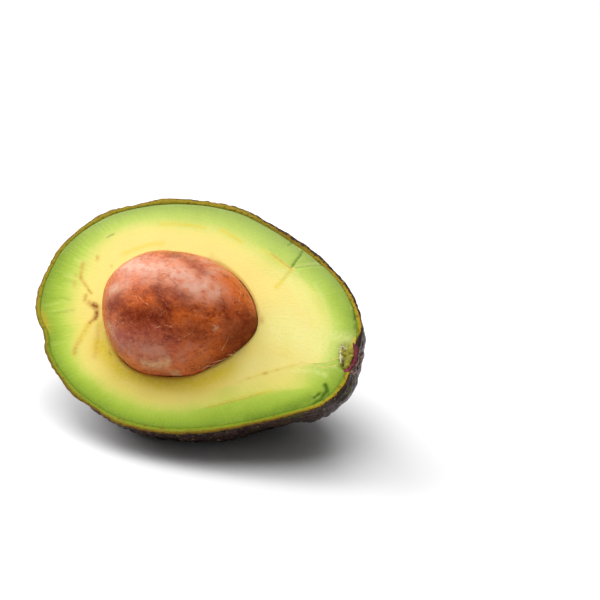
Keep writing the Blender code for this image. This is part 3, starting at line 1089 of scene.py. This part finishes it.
# Orange patches of the coat. The strokes low on the seed also stand for painted light thrown
# back from the flesh.
ORANGE_AND_BOUNCE_LIGHT = (
    (((6.3, -5.2), (9.5, -3.1), (13.4, -2.9), (16.4, -0.3)), 2.8, 1.0),
    (((10.0, 13.0), (11.7, 12.0), (15.6, 9.8), (18.3, 7.2)), 2.8, 0.9),
    (((0.1, 11.6), (4.3, 12.2), (5.2, 14.6)), 1.8, 0.7),
    (((-7.8, -4.7), (-4.6, -3.1), (-1.9, -1.5)), 2.2, 0.5),
    (((8.6, -13.6), (10.8, -11.4), (13.4, -11.0)), 3.2, 1.4),
    (((14.0, -7.0), (17.0, -6.0)), 2.4, 0.7),
    (((-7.0, -17.6), (0.0, -18.6), (8.0, -16.6), (13.0, -14.0)), 2.0, 0.8),
    (((12.0, 1.0), (16.0, 3.0)), 3.0, 0.8),
)
# The coat's pinkish bloom, painted lighter as a highlight on the upper left; the strokes low on
# the seed are painted light reflected from the flesh.
BLOOM_AND_SHEEN = (
    (((-14.9, 7.8), (-7.4, 7.7), (-1.2, 7.3), (4.0, 7.0), (9.0, 4.0)), 4.0, 1.0),
    (((-16.5, -0.5), (-13.0, 1.4)), 2.8, 0.8),
    (((-6.5, -15.2), (-1.3, -14.8), (2.7, -14.7)), 2.8, 0.55),
    (((-13.0, -12.0), (-9.0, -15.0), (-6.5, -15.2)), 2.4, 0.5),
    (((9.5, 6.5), (13.5, 4.5)), 3.4, 0.9),
    (((-11.0, 10.0), (-5.0, 11.0), (2.0, 12.6), (6.0, 14.6)), 3.2, 0.60),
    (((8.0, 10.0), (10.5, 12.0)), 2.4, 0.8),
    (((-14.0, 3.0), (-7.0, 3.2), (0.0, 3.6)), 2.0, 0.45),
    (((8.0, -15.0), (10.8, -12.0), (13.7, -11.0)), 2.0, 0.30),
    (((-16.8, 0.3), (-14.0, -0.4)), 1.4, 0.8),
)
PLUM = (
    (((-10.4, -13.1), (-3.8, -12.1), (1.3, -9.9), (5.8, -11.2)), 2.8, 0.9),
    (((5.8, -12.1), (7.0, -13.6), (5.5, -14.9)), 1.5, 0.5),
    (((-16.4, -4.5), (-15.4, -9.0)), 1.6, 0.6),
    (((-3.8, -17.0), (0.8, -16.7)), 1.5, 0.7),
    (((-16.0, -9.2), (-12.8, -11.3)), 1.8, 0.5),
    (((3.0, 5.0), (8.0, 5.5)), 1.4, 0.35),
)
PAPER = (
    (((-3.6, -17.6), (0.4, -17.2), (3.2, -16.6), (5.0, -15.6)), 0.6, 0.9),
    (((-16.2, -9.4), (-13.6, -11.0)), 0.8, 0.5),
    (((16.2, -5.2), (16.6, -4.3), (17.0, -4.1), (16.8, -4.9)), 0.35, 0.5),
    (((-16.5, -0.8), (-14.5, 0.0)), 0.8, 0.5),
    (((12.4, -14.2), (14.6, -12.6), (17.0, -10.6), (18.2, -9.5)), 0.35, 0.8),
    (((3.6, -17.7), (6.2, -17.1)), 0.40, 0.9),
)
SEED_MARKS = {"dark": DARK, "orange_and_bounce_light": ORANGE_AND_BOUNCE_LIGHT, "bloom_and_sheen": BLOOM_AND_SHEEN, "plum": PLUM, "paper": PAPER}

# %% Seed mesh
SEED_SEGMENTS = 72
BROAD_DENTS, BROAD_DENT_SIZE = 0.28, 9
SMALL_DENTS, SMALL_DENT_SIZE = 0.10, 3.5
COAT_SINK = 0.1


def dented(points, lift=0.0):
    """Points of the smooth egg moved in and out to shallow dents."""
    depth = np.array([
        BROAD_DENTS * noise.noise(Vector(p) / BROAD_DENT_SIZE)
        + SMALL_DENTS * noise.noise(Vector(p) / SMALL_DENT_SIZE) - COAT_SINK
        for p in points
    ])
    away = points / np.linalg.norm(points, axis=1)[:, None]
    return points + away * (depth + lift)[:, None]


directions, faces, _ = ball(SEED_SEGMENTS)
coat = dented(seed_points(directions))
seed = make_piece(
    "seed_in_coat", to_model(coat), faces, [seed_material], None,
    {name: stain(coat[:, :2], strokes) for name, strokes in SEED_MARKS.items()})
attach(seed, "root")
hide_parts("seed")

# %% [markdown]
# ## Stem end
# The knife has split the stem's root as well: a yellow-green plug with a torn pale edge sits
# in the flesh, a magenta line of scar tissue closes it off, and a corky ring lies outside.
# The plug is a lump whose top follows an outline on the cut face, and whose rounded underside
# sinks into the flesh. The scar is a band of changing width, swept along a path. The corky
# ring is turned half way round the stem's axis.

# %% Lumps on the cut face
LUMP_TURNS = 110
LUMP_TOP_SHARES = np.linspace(0.08, 1.0, 16)
LUMP_SIDE_DIPS = np.radians((12, 35, 60, 80))
LUMP_EDGE_DROP = 0.6
RIDGE_RISE = 0.45
HOLLOW_SINK = 0.55
LUMP_GRAIN = 2.1
LUMP_TOP_GRAIN = 1.6


def reach_of_outline(outline, centre, rays):
    """Distance from the centre to a drawn outline along each ray."""
    reach = np.zeros(len(rays))
    for start, end in zip(outline, np.roll(outline, -1, axis=0)):
        side, away = end - start, start - centre
        cross = rays[:, 0] * side[1] - rays[:, 1] * side[0]
        cross = np.where(np.abs(cross) < 1e-9, 1e-9, cross)
        far = (away[0] * side[1] - away[1] * side[0]) / cross
        share = (away[0] * rays[:, 1] - away[1] * rays[:, 0]) / cross
        hit = (share >= -0.01) & (share <= 1.01) & (far > 0)
        reach = np.where(hit, np.maximum(reach, far), reach)
    return reach


def make_lump(name, outline, rise, depth, rough, material, ridges, hollows):
    """A closed lump with a rough top at the rise, and a round underside."""
    outline = np.array(outline, float)
    centre = outline.mean(axis=0)
    angles = np.linspace(-math.pi, math.pi, LUMP_TURNS, endpoint=False)
    rays = around(angles, 0.0)[:, :2]
    rays = rays * reach_of_outline(outline, centre, rays)[:, None]
    rows = []
    for share in LUMP_TOP_SHARES:
        height = np.full(LUMP_TURNS, rise * (1 - LUMP_EDGE_DROP * share**8))
        rows.append(np.column_stack([centre + rays * share, height]))
    for dip in LUMP_SIDE_DIPS:
        height = np.full(LUMP_TURNS, -depth * math.sin(dip))
        rows.append(np.column_stack([centre + rays * math.cos(dip), height]))
    grid = np.vstack([*rows, [*centre, rise], [*centre, -depth]])
    marks = {"ridge": stain(grid[:, :2], ridges), "hollow": stain(grid[:, :2], hollows)}
    relief = RIDGE_RISE * marks["ridge"] - HOLLOW_SINK * marks["hollow"]
    grid[:, 2] += np.where(grid[:, 2] > -0.2 * depth, relief, 0)
    for point in grid:
        place = Vector(point)
        point += rough * np.array([
            noise.noise(place * LUMP_GRAIN + Vector((7, 0, 0))),
            noise.noise(place * LUMP_GRAIN + Vector((0, 9, 0))),
            noise.noise(place * LUMP_TOP_GRAIN),
        ])
    faces = swept_faces(len(rows), LUMP_TURNS)
    return make_piece(name, to_model(grid), faces, [material], None, marks)

# %% Smooth paths
PATH_STEPS = 6


def smooth_path(line):
    """A smooth path through the drawn points."""
    line = np.array(line, float)
    padded = np.vstack([2 * line[0] - line[1], line, 2 * line[-1] - line[-2]])
    path = []
    for a, b, c, d in zip(padded[:-3], padded[1:-2], padded[2:-1], padded[3:]):
        for step in range(PATH_STEPS):
            t = step / PATH_STEPS
            path.append(0.5 * (
                2 * b + (c - a) * t + (2 * a - 5 * b + 4 * c - d) * t**2
                + (3 * b - a - 3 * c + d) * t**3
            ))
    path.append(line[-1])
    return np.array(path)

# %% Stem materials
def mottled_material(name, light, dark, scale, roughness, bump, specular=0.5, marks=()):
    """A rough finish between two tones, with stored marks over them, for small pieces."""
    material, shader, where = new_finish(name)
    tone = mix(clouds(where, scale, 0.38, 0.62), light, dark)
    for mark, colour in marks:
        tone = mix(attribute(where, mark), tone, colour)
    finish(shader, tone, roughness, specular, grains(where, 2 * scale), bump)
    return material


# Painted shade: the plug's hollows are painted dark, on top of their sinking.
plug_material = mottled_material(
    "plug", (0.38, 0.35, 0.045), (0.25, 0.22, 0.020), 1.0, 0.5, 0.35, 0.12,
    [("hollow", (0.085, 0.075, 0.010)), ("ridge", (0.92, 0.84, 0.56))])
scar_material = mottled_material(
    "scar", (0.26, 0.014, 0.036), (0.11, 0.008, 0.014), 0.9, 0.45, 0.3, 0.25,
    [("outer", (0.060, 0.010, 0.012)), ("end", (0.40, 0.022, 0.085))])
cork_material = mottled_material(
    "cork", (0.40, 0.26, 0.21), (0.016, 0.010, 0.009), 0.6, 0.8, 0.8)

# %% Plug and scar
PLUG_OUTLINE = (
    (49.6, 1.1), (49.5, 0.1), (50.0, -1.7), (50.8, -3.8), (51.6, -4.8), (52.4, -5.3),
    (53.1, -4.8), (53.6, -3.8), (53.8, -2.7), (53.8, -0.9), (53.5, 0.5), (53.0, 1.5),
    (52.5, 1.4), (51.8, 1.0), (51.2, 0.7), (50.4, 1.0),
)
PLUG_RISE = 0.35
PLUG_DEPTH = 3.2
PLUG_ROUGH = 0.28
PLUG_RIDGES = (
    (((49.8, 0.9), (49.8, 0.0), (50.3, -2.0), (51.0, -3.8)), 0.28, 1.0),
    (((49.8, 1.0), (50.5, 0.9), (51.1, 0.6)), 0.30, 0.9),
    (((50.7, -2.2), (51.2, -2.6)), 0.30, 0.7),
)
# Hollows in the plug; its material also paints them dark, as shade.
PLUG_HOLLOWS = (
    (((51.3, -2.9), (51.6, -3.7), (51.9, -4.5)), 0.26, 1.0),
    (((50.7, 0.3), (51.2, -0.1)), 0.26, 0.25),
    (((51.8, -0.9), (51.7, -2.4)), 0.40, 0.30),
)
plug = make_lump(
    "stem_plug", PLUG_OUTLINE, PLUG_RISE, PLUG_DEPTH, PLUG_ROUGH, plug_material,
    PLUG_RIDGES, PLUG_HOLLOWS)

SCAR_PATH = (
    (52.6, 2.7), (53.2, 2.0), (53.9, 1.1), (54.4, -0.3), (54.7, -1.8), (54.5, -3.3),
    (54.0, -4.6), (53.3, -5.5), (52.4, -5.7),
)
SCAR_HALF_WIDTHS = (0.15, 0.42, 0.95, 0.70, 0.75, 0.60, 0.66, 0.44, 0.20)
SCAR_ROUND = np.linspace(0, math.tau, 18, endpoint=False)
SCAR_DEPTH = 2.0
SCAR_RISE = 0.14
SCAR_ROUGH = 0.22
SCAR_GRAIN = 1.9
scar_line = smooth_path(SCAR_PATH)
scar_width = np.interp(
    np.linspace(0, 1, len(scar_line)), np.linspace(0, 1, len(SCAR_PATH)), SCAR_HALF_WIDTHS)
scar_run = np.gradient(scar_line, axis=0)
scar_side = np.stack([scar_run[:, 1], -scar_run[:, 0]], axis=1)
scar_side /= np.linalg.norm(scar_side, axis=1)[:, None]
scar_points = []
for place, side, width in zip(scar_line, scar_side, scar_width):
    for turn in SCAR_ROUND:
        x, y = place + side * width * math.cos(turn)
        deep = math.sin(turn)
        point = Vector((x, y, SCAR_RISE * deep if deep > 0 else SCAR_DEPTH * deep * width))
        lift = SCAR_ROUGH * noise.noise(point * SCAR_GRAIN)
        scar_points.append(point + Vector((0, 0, lift)))
count = len(SCAR_ROUND)
scar_faces = grid_faces(len(scar_line), count)
scar_faces.append(list(range(count)))
scar_faces.append(list(range(len(scar_points) - count, len(scar_points))))
outer_side = np.tile(np.clip(-1.5 * np.cos(SCAR_ROUND), 0, 1), len(scar_line))
lower_end = np.repeat(np.clip(np.linspace(-3.0, 1.0, len(scar_line)), 0, 1), count)
scar = make_piece(
    "stem_scar", to_model(np.array(scar_points)), scar_faces, [scar_material], None,
    {"outer": outer_side, "end": lower_end})
for piece in (plug, scar):
    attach(piece, "root")

# %% Corky ring
RING_TURNS = 72
RING_SINK = 0.05
RING_ROUGH = np.array((0.34, 0.20, 0.0))
RING_GRAIN = 1.1
RING_PROFILE = (
    (52.6, 3.4), (54.3, 3.9), (54.9, 4.0), (55.35, 3.75), (55.6, 3.3), (55.45, 2.8),
    (55.2, 2.4), (55.25, 2.0), (55.45, 1.6), (55.4, 1.1), (55.2, 0.6), (55.15, 0.25),
)
turns = np.linspace(0, math.pi, RING_TURNS + 1)
across = len(turns)
ring_points = np.concatenate([
    np.stack([
        np.full(across, along),
        STEM[1] + radius * np.cos(turns),
        -radius * np.sin(turns) - RING_SINK,
    ], axis=1)
    for along, radius in RING_PROFILE
])
for point in ring_points:
    point += RING_ROUGH * noise.noise(Vector(point) * RING_GRAIN)
ring_faces = grid_faces(len(RING_PROFILE), across, closed=False)
starts = [row * across for row in range(len(RING_PROFILE))]
ring_faces.append(list(range(across)))
ring_faces.append(list(range(starts[-1], starts[-1] + across)))
ring_faces.append(starts + [start + RING_TURNS for start in reversed(starts)])
cork = make_piece("stem_cork", to_model(ring_points), ring_faces, [cork_material])
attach(cork, "root")
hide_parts("stem_button")

# %% [markdown]
# ## Strands and scratches
# Fine vessels run through the flesh, and the knife has laid some of them bare: golden and
# orange lines that follow the edge of the green, and torn fibres beside the stem. The long
# scratches and papery shreds of the seed are as thin. They all follow a path, so Geometry
# Nodes make them: each path is a line of points on the surface, and one node tree turns it
# into a thin tapering cord with a slight wobble.

# %% Strand node tree
def new_geometry_tree(name, inputs):
    """A geometry tree, the sockets that feed it, and the one that takes its mesh."""
    tree = bpy.data.node_groups.new(name, "GeometryNodeTree")
    inputs = {"Mesh": ("Geometry", None), **inputs, "Material": ("Material", None)}
    for label, (kind, value) in inputs.items():
        socket = tree.interface.new_socket(
            label, in_out="INPUT", socket_type="NodeSocket" + kind)
        if value is not None:
            socket.default_value = value
    tree.interface.new_socket("Mesh", in_out="OUTPUT", socket_type="NodeSocketGeometry")
    given = add_node(tree, "NodeGroupInput").outputs
    return tree, given, add_node(tree, "NodeGroupOutput").inputs["Mesh"]


def hand_out(mesh, given, result):
    """Make the instances real, set the material, and give the mesh to the output."""
    single = output_of(mesh.id_data, "GeometryNodeRealizeInstances", Geometry=mesh)
    link(output_of(mesh.id_data, "GeometryNodeSetMaterial", Geometry=single,
                   Material=given["Material"]), result)


def random_vector(seed, low, high):
    return output_of(seed.id_data, "FunctionNodeRandomValue",
                     {"data_type": "FLOAT_VECTOR"}, Seed=seed, Min=low, Max=high)


strands, given, result = new_geometry_tree("strands", {
    "Radius": ("Float", 0.15 * MM),
    "Wobble": ("Float", 0.1 * MM),
    "Step": ("Float", 0.5 * MM),
    "Seed": ("Int", 1),
})
curve = output_of(strands, "GeometryNodeMeshToCurve", Mesh=given["Mesh"])
curve = output_of(strands, "GeometryNodeResampleCurve", {"mode": "LENGTH"},
                  Curve=curve, Length=given["Step"])
stray = random_vector(given["Seed"], (-1, -1, -0.3), (1, 1, 0.3))
curve = output_of(strands, "GeometryNodeSetPosition", Geometry=curve,
                  Offset=vectors("SCALE", stray, Scale=given["Wobble"]))
along_path = output_of(strands, "GeometryNodeSplineParameter")
swell = maths("SINE", times(along_path, math.pi))
curve = output_of(strands, "GeometryNodeSetCurveRadius", Curve=curve,
                  Radius=plus(times(swell, 0.75), 0.25))
circle = output_of(strands, "GeometryNodeCurvePrimitiveCircle", Resolution=6,
                   Radius=given["Radius"])
cord = output_of(strands, "GeometryNodeCurveToMesh", Curve=curve, Profile_Curve=circle,
                 Fill_Caps=True)
hand_out(cord, given, result)


def grow(name, source, tree, **inputs):
    """Run a geometry tree on an object and keep the result as a plain mesh."""
    modifier = source.modifiers.new(tree.name, "NODES")
    modifier.node_group = tree
    for socket in tree.interface.items_tree:
        if socket.in_out == "INPUT" and socket.name in inputs:
            modifier[socket.identifier] = inputs[socket.name]
    source.update_tag()
    grown = source.evaluated_get(bpy.context.evaluated_depsgraph_get())
    mesh = bpy.data.meshes.new_from_object(grown)
    mesh.name = name
    source.modifiers.remove(modifier)
    mesh.shade_smooth()
    print(f"{name}: {len(mesh.polygons)} faces")
    return new_object(name, mesh)

# %% Strand paths
def on_face(lines, lift):
    """Smooth paths on the cut face through lines of (x, y), at a lift above it."""
    paths = [smooth_path(line) for line in lines]
    return [
        np.column_stack([path, [face_height(x, y) + lift for x, y in path]])
        for path in paths
    ]


def on_seed(lines, lift):
    """Smooth paths on the upper side of the seed through lines of (x, y)."""
    paths = []
    for path in (smooth_path(line) for line in lines):
        reach = round_the_clock(SEED_REACH, np.arctan2(path[:, 1], path[:, 0]))
        share = (np.hypot(path[:, 0], path[:, 1]) / reach) ** SEED_FULLNESS
        height = SEED_RISE * (1 - np.minimum(share, 0.999)) ** (1 / SEED_FULLNESS)
        paths.append(dented(np.column_stack([path, height]), lift))
    return paths


def make_strands(name, paths, material, radius, wobble, step, seed):
    """Tapering cords along paths, all in one piece, with sizes in millimetres."""
    points, edges = [], []
    for path in paths:
        edges += [(len(points) + i, len(points) + i + 1) for i in range(len(path) - 1)]
        points += [tuple(point) for point in path]
    mesh = bpy.data.meshes.new(name + "_paths")
    mesh.from_pydata([tuple(p) for p in to_model(np.array(points))], edges, [])
    source = new_object(name + "_paths", mesh)
    piece = grow(name, source, strands, Material=material, Radius=radius * MM,
                 Wobble=wobble * MM, Step=step * MM, Seed=seed)
    bpy.data.objects.remove(source)
    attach(piece, "root")

# %% Strands
STRAND_LIFT = -0.04
SHRED_LIFT = -0.02
GOLDEN_LINES = (
    ((17.6, -24.0), (20.2, -22.7), (22.8, -21.3), (26.6, -19.4), (30.3, -17.4)),
    ((39.6, -5.6), (41.6, -5.6), (43.4, -5.3), (46.5, -4.4), (48.6, -3.1), (50.0, -2.4)),
    ((41.0, -5.4), (43.5, -6.0), (46.0, -6.0), (48.0, -5.5), (50.4, -4.4)),
)
golden_material = mottled_material(
    "golden_strand", (0.90, 0.76, 0.24), (0.80, 0.62, 0.12), 0.8, 0.45, 0.1)
orange_material = mottled_material(
    "orange_strand", (0.76, 0.47, 0.09), (0.70, 0.38, 0.06), 0.8, 0.45, 0.1)
torn_material = mottled_material(
    "torn_fibre", (0.90, 0.82, 0.52), (0.66, 0.52, 0.26), 1.0, 0.6, 0.3)
make_strands("golden_strands", on_face(GOLDEN_LINES, STRAND_LIFT), golden_material,
             radius=0.10, wobble=0.04, step=0.6, seed=3)
make_strands("orange_strands", on_face([ORANGE_LINE], STRAND_LIFT), orange_material,
             radius=0.085, wobble=0.03, step=0.6, seed=5)

# %% Torn fibres and veins on the seed
FIBRE_COUNT = 12
FIBRE_SCATTER = 0.15
FIBRE_LEANS = ((-0.15, 0.3), (0.3, 0.3))
FIBRE_LIFT = (0.25, 0.6)
FIBRE_FOOT = 0.1
FIBRE_RISE = 0.3
TORN_EDGE = ((51.0, 0.9), (49.8, 1.1), (49.7, 0.2), (50.9, -3.6))
random = np.random.default_rng(8)
torn_edge = smooth_path(TORN_EDGE)
fibres = []
for start in torn_edge[random.integers(0, len(torn_edge), FIBRE_COUNT)]:
    x, y = start + random.normal(0, FIBRE_SCATTER, 2)
    lean_x, lean_y = [random.normal(*lean) for lean in FIBRE_LEANS]
    lift = random.uniform(*FIBRE_LIFT)
    middle = (x + lean_x / 2, y + lean_y / 2, FIBRE_RISE + lift / 2)
    end = (x + lean_x, y + lean_y, FIBRE_RISE + lift)
    fibres.append(((x, y, FIBRE_FOOT), middle, end))
make_strands("torn_fibres", fibres, torn_material,
             radius=0.13, wobble=0.05, step=0.3, seed=11)

PALE_VEINS = (
    ((1.6, 14.1), (2.8, 14.2), (4.6, 13.7)),
    ((6.8, 15.3), (7.8, 15.3), (8.9, 15.5)),
    ((17.6, 8.6), (18.5, 8.3), (19.7, 4.9)),
    ((16.8, 6.6), (17.5, 6.3)),
    ((18.2, 6.4), (19.4, 4.6)),
    ((10.7, -2.1), (11.7, -2.5), (11.6, -3.5)),
    ((12.4, -2.7), (13.5, -3.2)),
    ((16.3, -1.6), (17.1, -1.7)),
    ((15.9, -4.3), (16.8, -4.1), (16.6, -5.3), (15.9, -5.6)),
    ((22.2, 0.3), (22.4, 1.4), (22.2, 2.6)),
    ((21.6, -0.6), (21.9, 0.4)),
    ((19.6, -5.1), (19.0, -6.9), (18.0, -8.8)),
    ((2.3, 9.0), (4.3, 8.0)),
    ((5.5, 7.5), (7.5, 6.7)),
    ((-6.2, -1.8), (-4.1, -3.2), (-2.1, -3.9)),
    ((1.6, -1.5), (3.7, -3.1)),
    ((7.3, -11.1), (8.9, -9.8), (10.6, -8.5), (12.0, -6.3)),
    ((1.0, -9.6), (4.2, -8.2), (6.6, -8.2)),
    ((-16.8, 0.3), (-14.0, -0.4), (-14.0, -1.6)),
    ((-9.1, -1.8), (-7.1, -2.2)),
    ((-14.5, -8.0), (-11.0, -9.6), (-6.0, -9.4)),
    ((-1.4, -17.4), (1.6, -17.1), (4.2, -16.3)),
)
RIM_SHREDS = (
    ((12.3, -14.3), (13.4, -13.5), (14.6, -12.7), (15.6, -11.9)),
    ((15.2, -12.1), (16.6, -11.0), (17.6, -10.1), (18.3, -9.4)),
    ((18.7, -8.9), (19.6, -8.0)),
    ((3.6, -17.6), (5.0, -17.4), (6.3, -17.1)),
)
DARK_VEINS = (
    ((0.5, 5.5), (2.4, 4.5), (4.5, 3.3)),
    ((-1.8, 1.1), (0.4, 0.9)),
    ((3.0, -4.0), (3.4, -2.2)),
    ((21.5, -2.2), (20.6, -5.3)),
    ((20.0, -0.9), (21.4, -1.2)),
    ((15.0, 6.0), (17.5, 2.0), (19.5, -2.0)),
    ((-1.2, 1.3), (0.2, 1.2), (-0.6, -1.3)),
)
pale_vein_material = mottled_material(
    "pale_vein", (0.78, 0.44, 0.26), (0.50, 0.18, 0.07), 1.2, 0.5, 0.1)
dark_vein_material = mottled_material(
    "dark_vein", (0.14, 0.035, 0.015), (0.080, 0.020, 0.010), 0.8, 0.5, 0.1)
make_strands("pale_veins", on_seed(PALE_VEINS, STRAND_LIFT), pale_vein_material,
             radius=0.058, wobble=0.07, step=0.5, seed=17)
make_strands("rim_shreds", on_seed(RIM_SHREDS, SHRED_LIFT), pale_vein_material,
             radius=0.13, wobble=0.14, step=0.5, seed=23)
make_strands("dark_veins", on_seed(DARK_VEINS, STRAND_LIFT), dark_vein_material,
             radius=0.065, wobble=0.06, step=0.5, seed=19)

# %% [markdown]
# ## Flecks and flakes
# Small corky flecks are scattered over the whole peel, and dry flakes of the coat along the
# lower edge of the seed. Geometry Nodes spread them: points are strewn over the surface,
# never closer than a set distance, a low dome is set on each one, turned and sized at random
# from a fixed seed, and the domes are made into one mesh.

# %% Fleck node tree
POINTS_PER_M2 = 400000.0
fleck_tree, given, result = new_geometry_tree("peel_flecks", {
    "Apart": ("Float", 2.6 * MM),
    "Size": ("Float", 0.5 * MM),
    "Seed": ("Int", 1),
})
strewn = output_of(fleck_tree, "GeometryNodeInputNamedAttribute",
                   {"data_type": "FLOAT"}, Name="strewn")
points = add_node(
    fleck_tree, "GeometryNodeDistributePointsOnFaces", {"distribute_method": "POISSON"},
    Mesh=given["Mesh"], Selection=maths("GREATER_THAN", strewn, 0.5),
    Distance_Min=given["Apart"], Density_Max=POINTS_PER_M2, Density_Factor=1.0,
    Seed=given["Seed"]).outputs
dome = output_of(fleck_tree, "GeometryNodeMeshUVSphere", Segments=8, Rings=4,
                 Radius=given["Size"])
turn = random_vector(given["Seed"], (0, 0, 0), (0, 0, math.tau))
size = random_vector(given["Seed"], (0.35, 0.30, 0.16), (1.15, 0.75, 0.26))
placed = output_of(
    fleck_tree, "GeometryNodeInstanceOnPoints", Points=points["Points"], Instance=dome,
    Rotation=points["Rotation"], Scale=size)
turned = output_of(fleck_tree, "GeometryNodeRotateInstances", Instances=placed,
                   Rotation=turn)
hand_out(turned, given, result)

# %% Flecks
FLECK_CLEARANCE = 0.6
FLAKE_CLEARANCE = 0.4
fleck_material = mottled_material(
    "corky_fleck", (0.26, 0.25, 0.055), (0.16, 0.12, 0.035), 0.4, 0.6, 0.15)


def strew(name, source, share, material, apart, size, seed):
    """Low domes on the part of a mesh where the share is over a half."""
    layer = source.data.attributes.new("strewn", "FLOAT", "POINT")
    layer.data.foreach_set("value", np.array(share, np.float32))
    piece = grow(name, source, fleck_tree, Material=material, Apart=apart * MM,
                 Size=size * MM, Seed=seed)
    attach(piece, "root")


height = np.array([vertex.co.z for vertex in peel.data.vertices]) / MM
clear = (height > FLECK_CLEARANCE) & (np.arange(len(height)) < len(outside))
clear[rim] = False
strew("peel_flecks", peel, clear, fleck_material, apart=3.0, size=0.45, seed=4)

FLAKING = (
    (((11.8, -14.5), (14.0, -13.1), (15.6, -11.8), (17.7, -10.0), (19.8, -7.6)), 0.9, 1.0),
    (((4.8, -17.4), (6.1, -17.0)), 0.6, 1.0),
)
flaking = stain(coat[:, :2], FLAKING) * (coat[:, 2] > FLAKE_CLEARANCE)
flake_material = mottled_material(
    "papery_flake", (0.66, 0.50, 0.30), (0.42, 0.24, 0.13), 0.8, 0.6, 0.2)
strew("seed_flakes", seed, flaking, flake_material,
      apart=0.75, size=0.40, seed=9)

# %% [markdown]
# ## Close the lesson
# The size of the visual model is printed, in millimetres. The visual model has to keep the
# size of the imported one.

# %% Size and finish
low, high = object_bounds()
print("visual model:", [round((b - a) / MM, 1) for a, b in zip(low, high)], "mm")
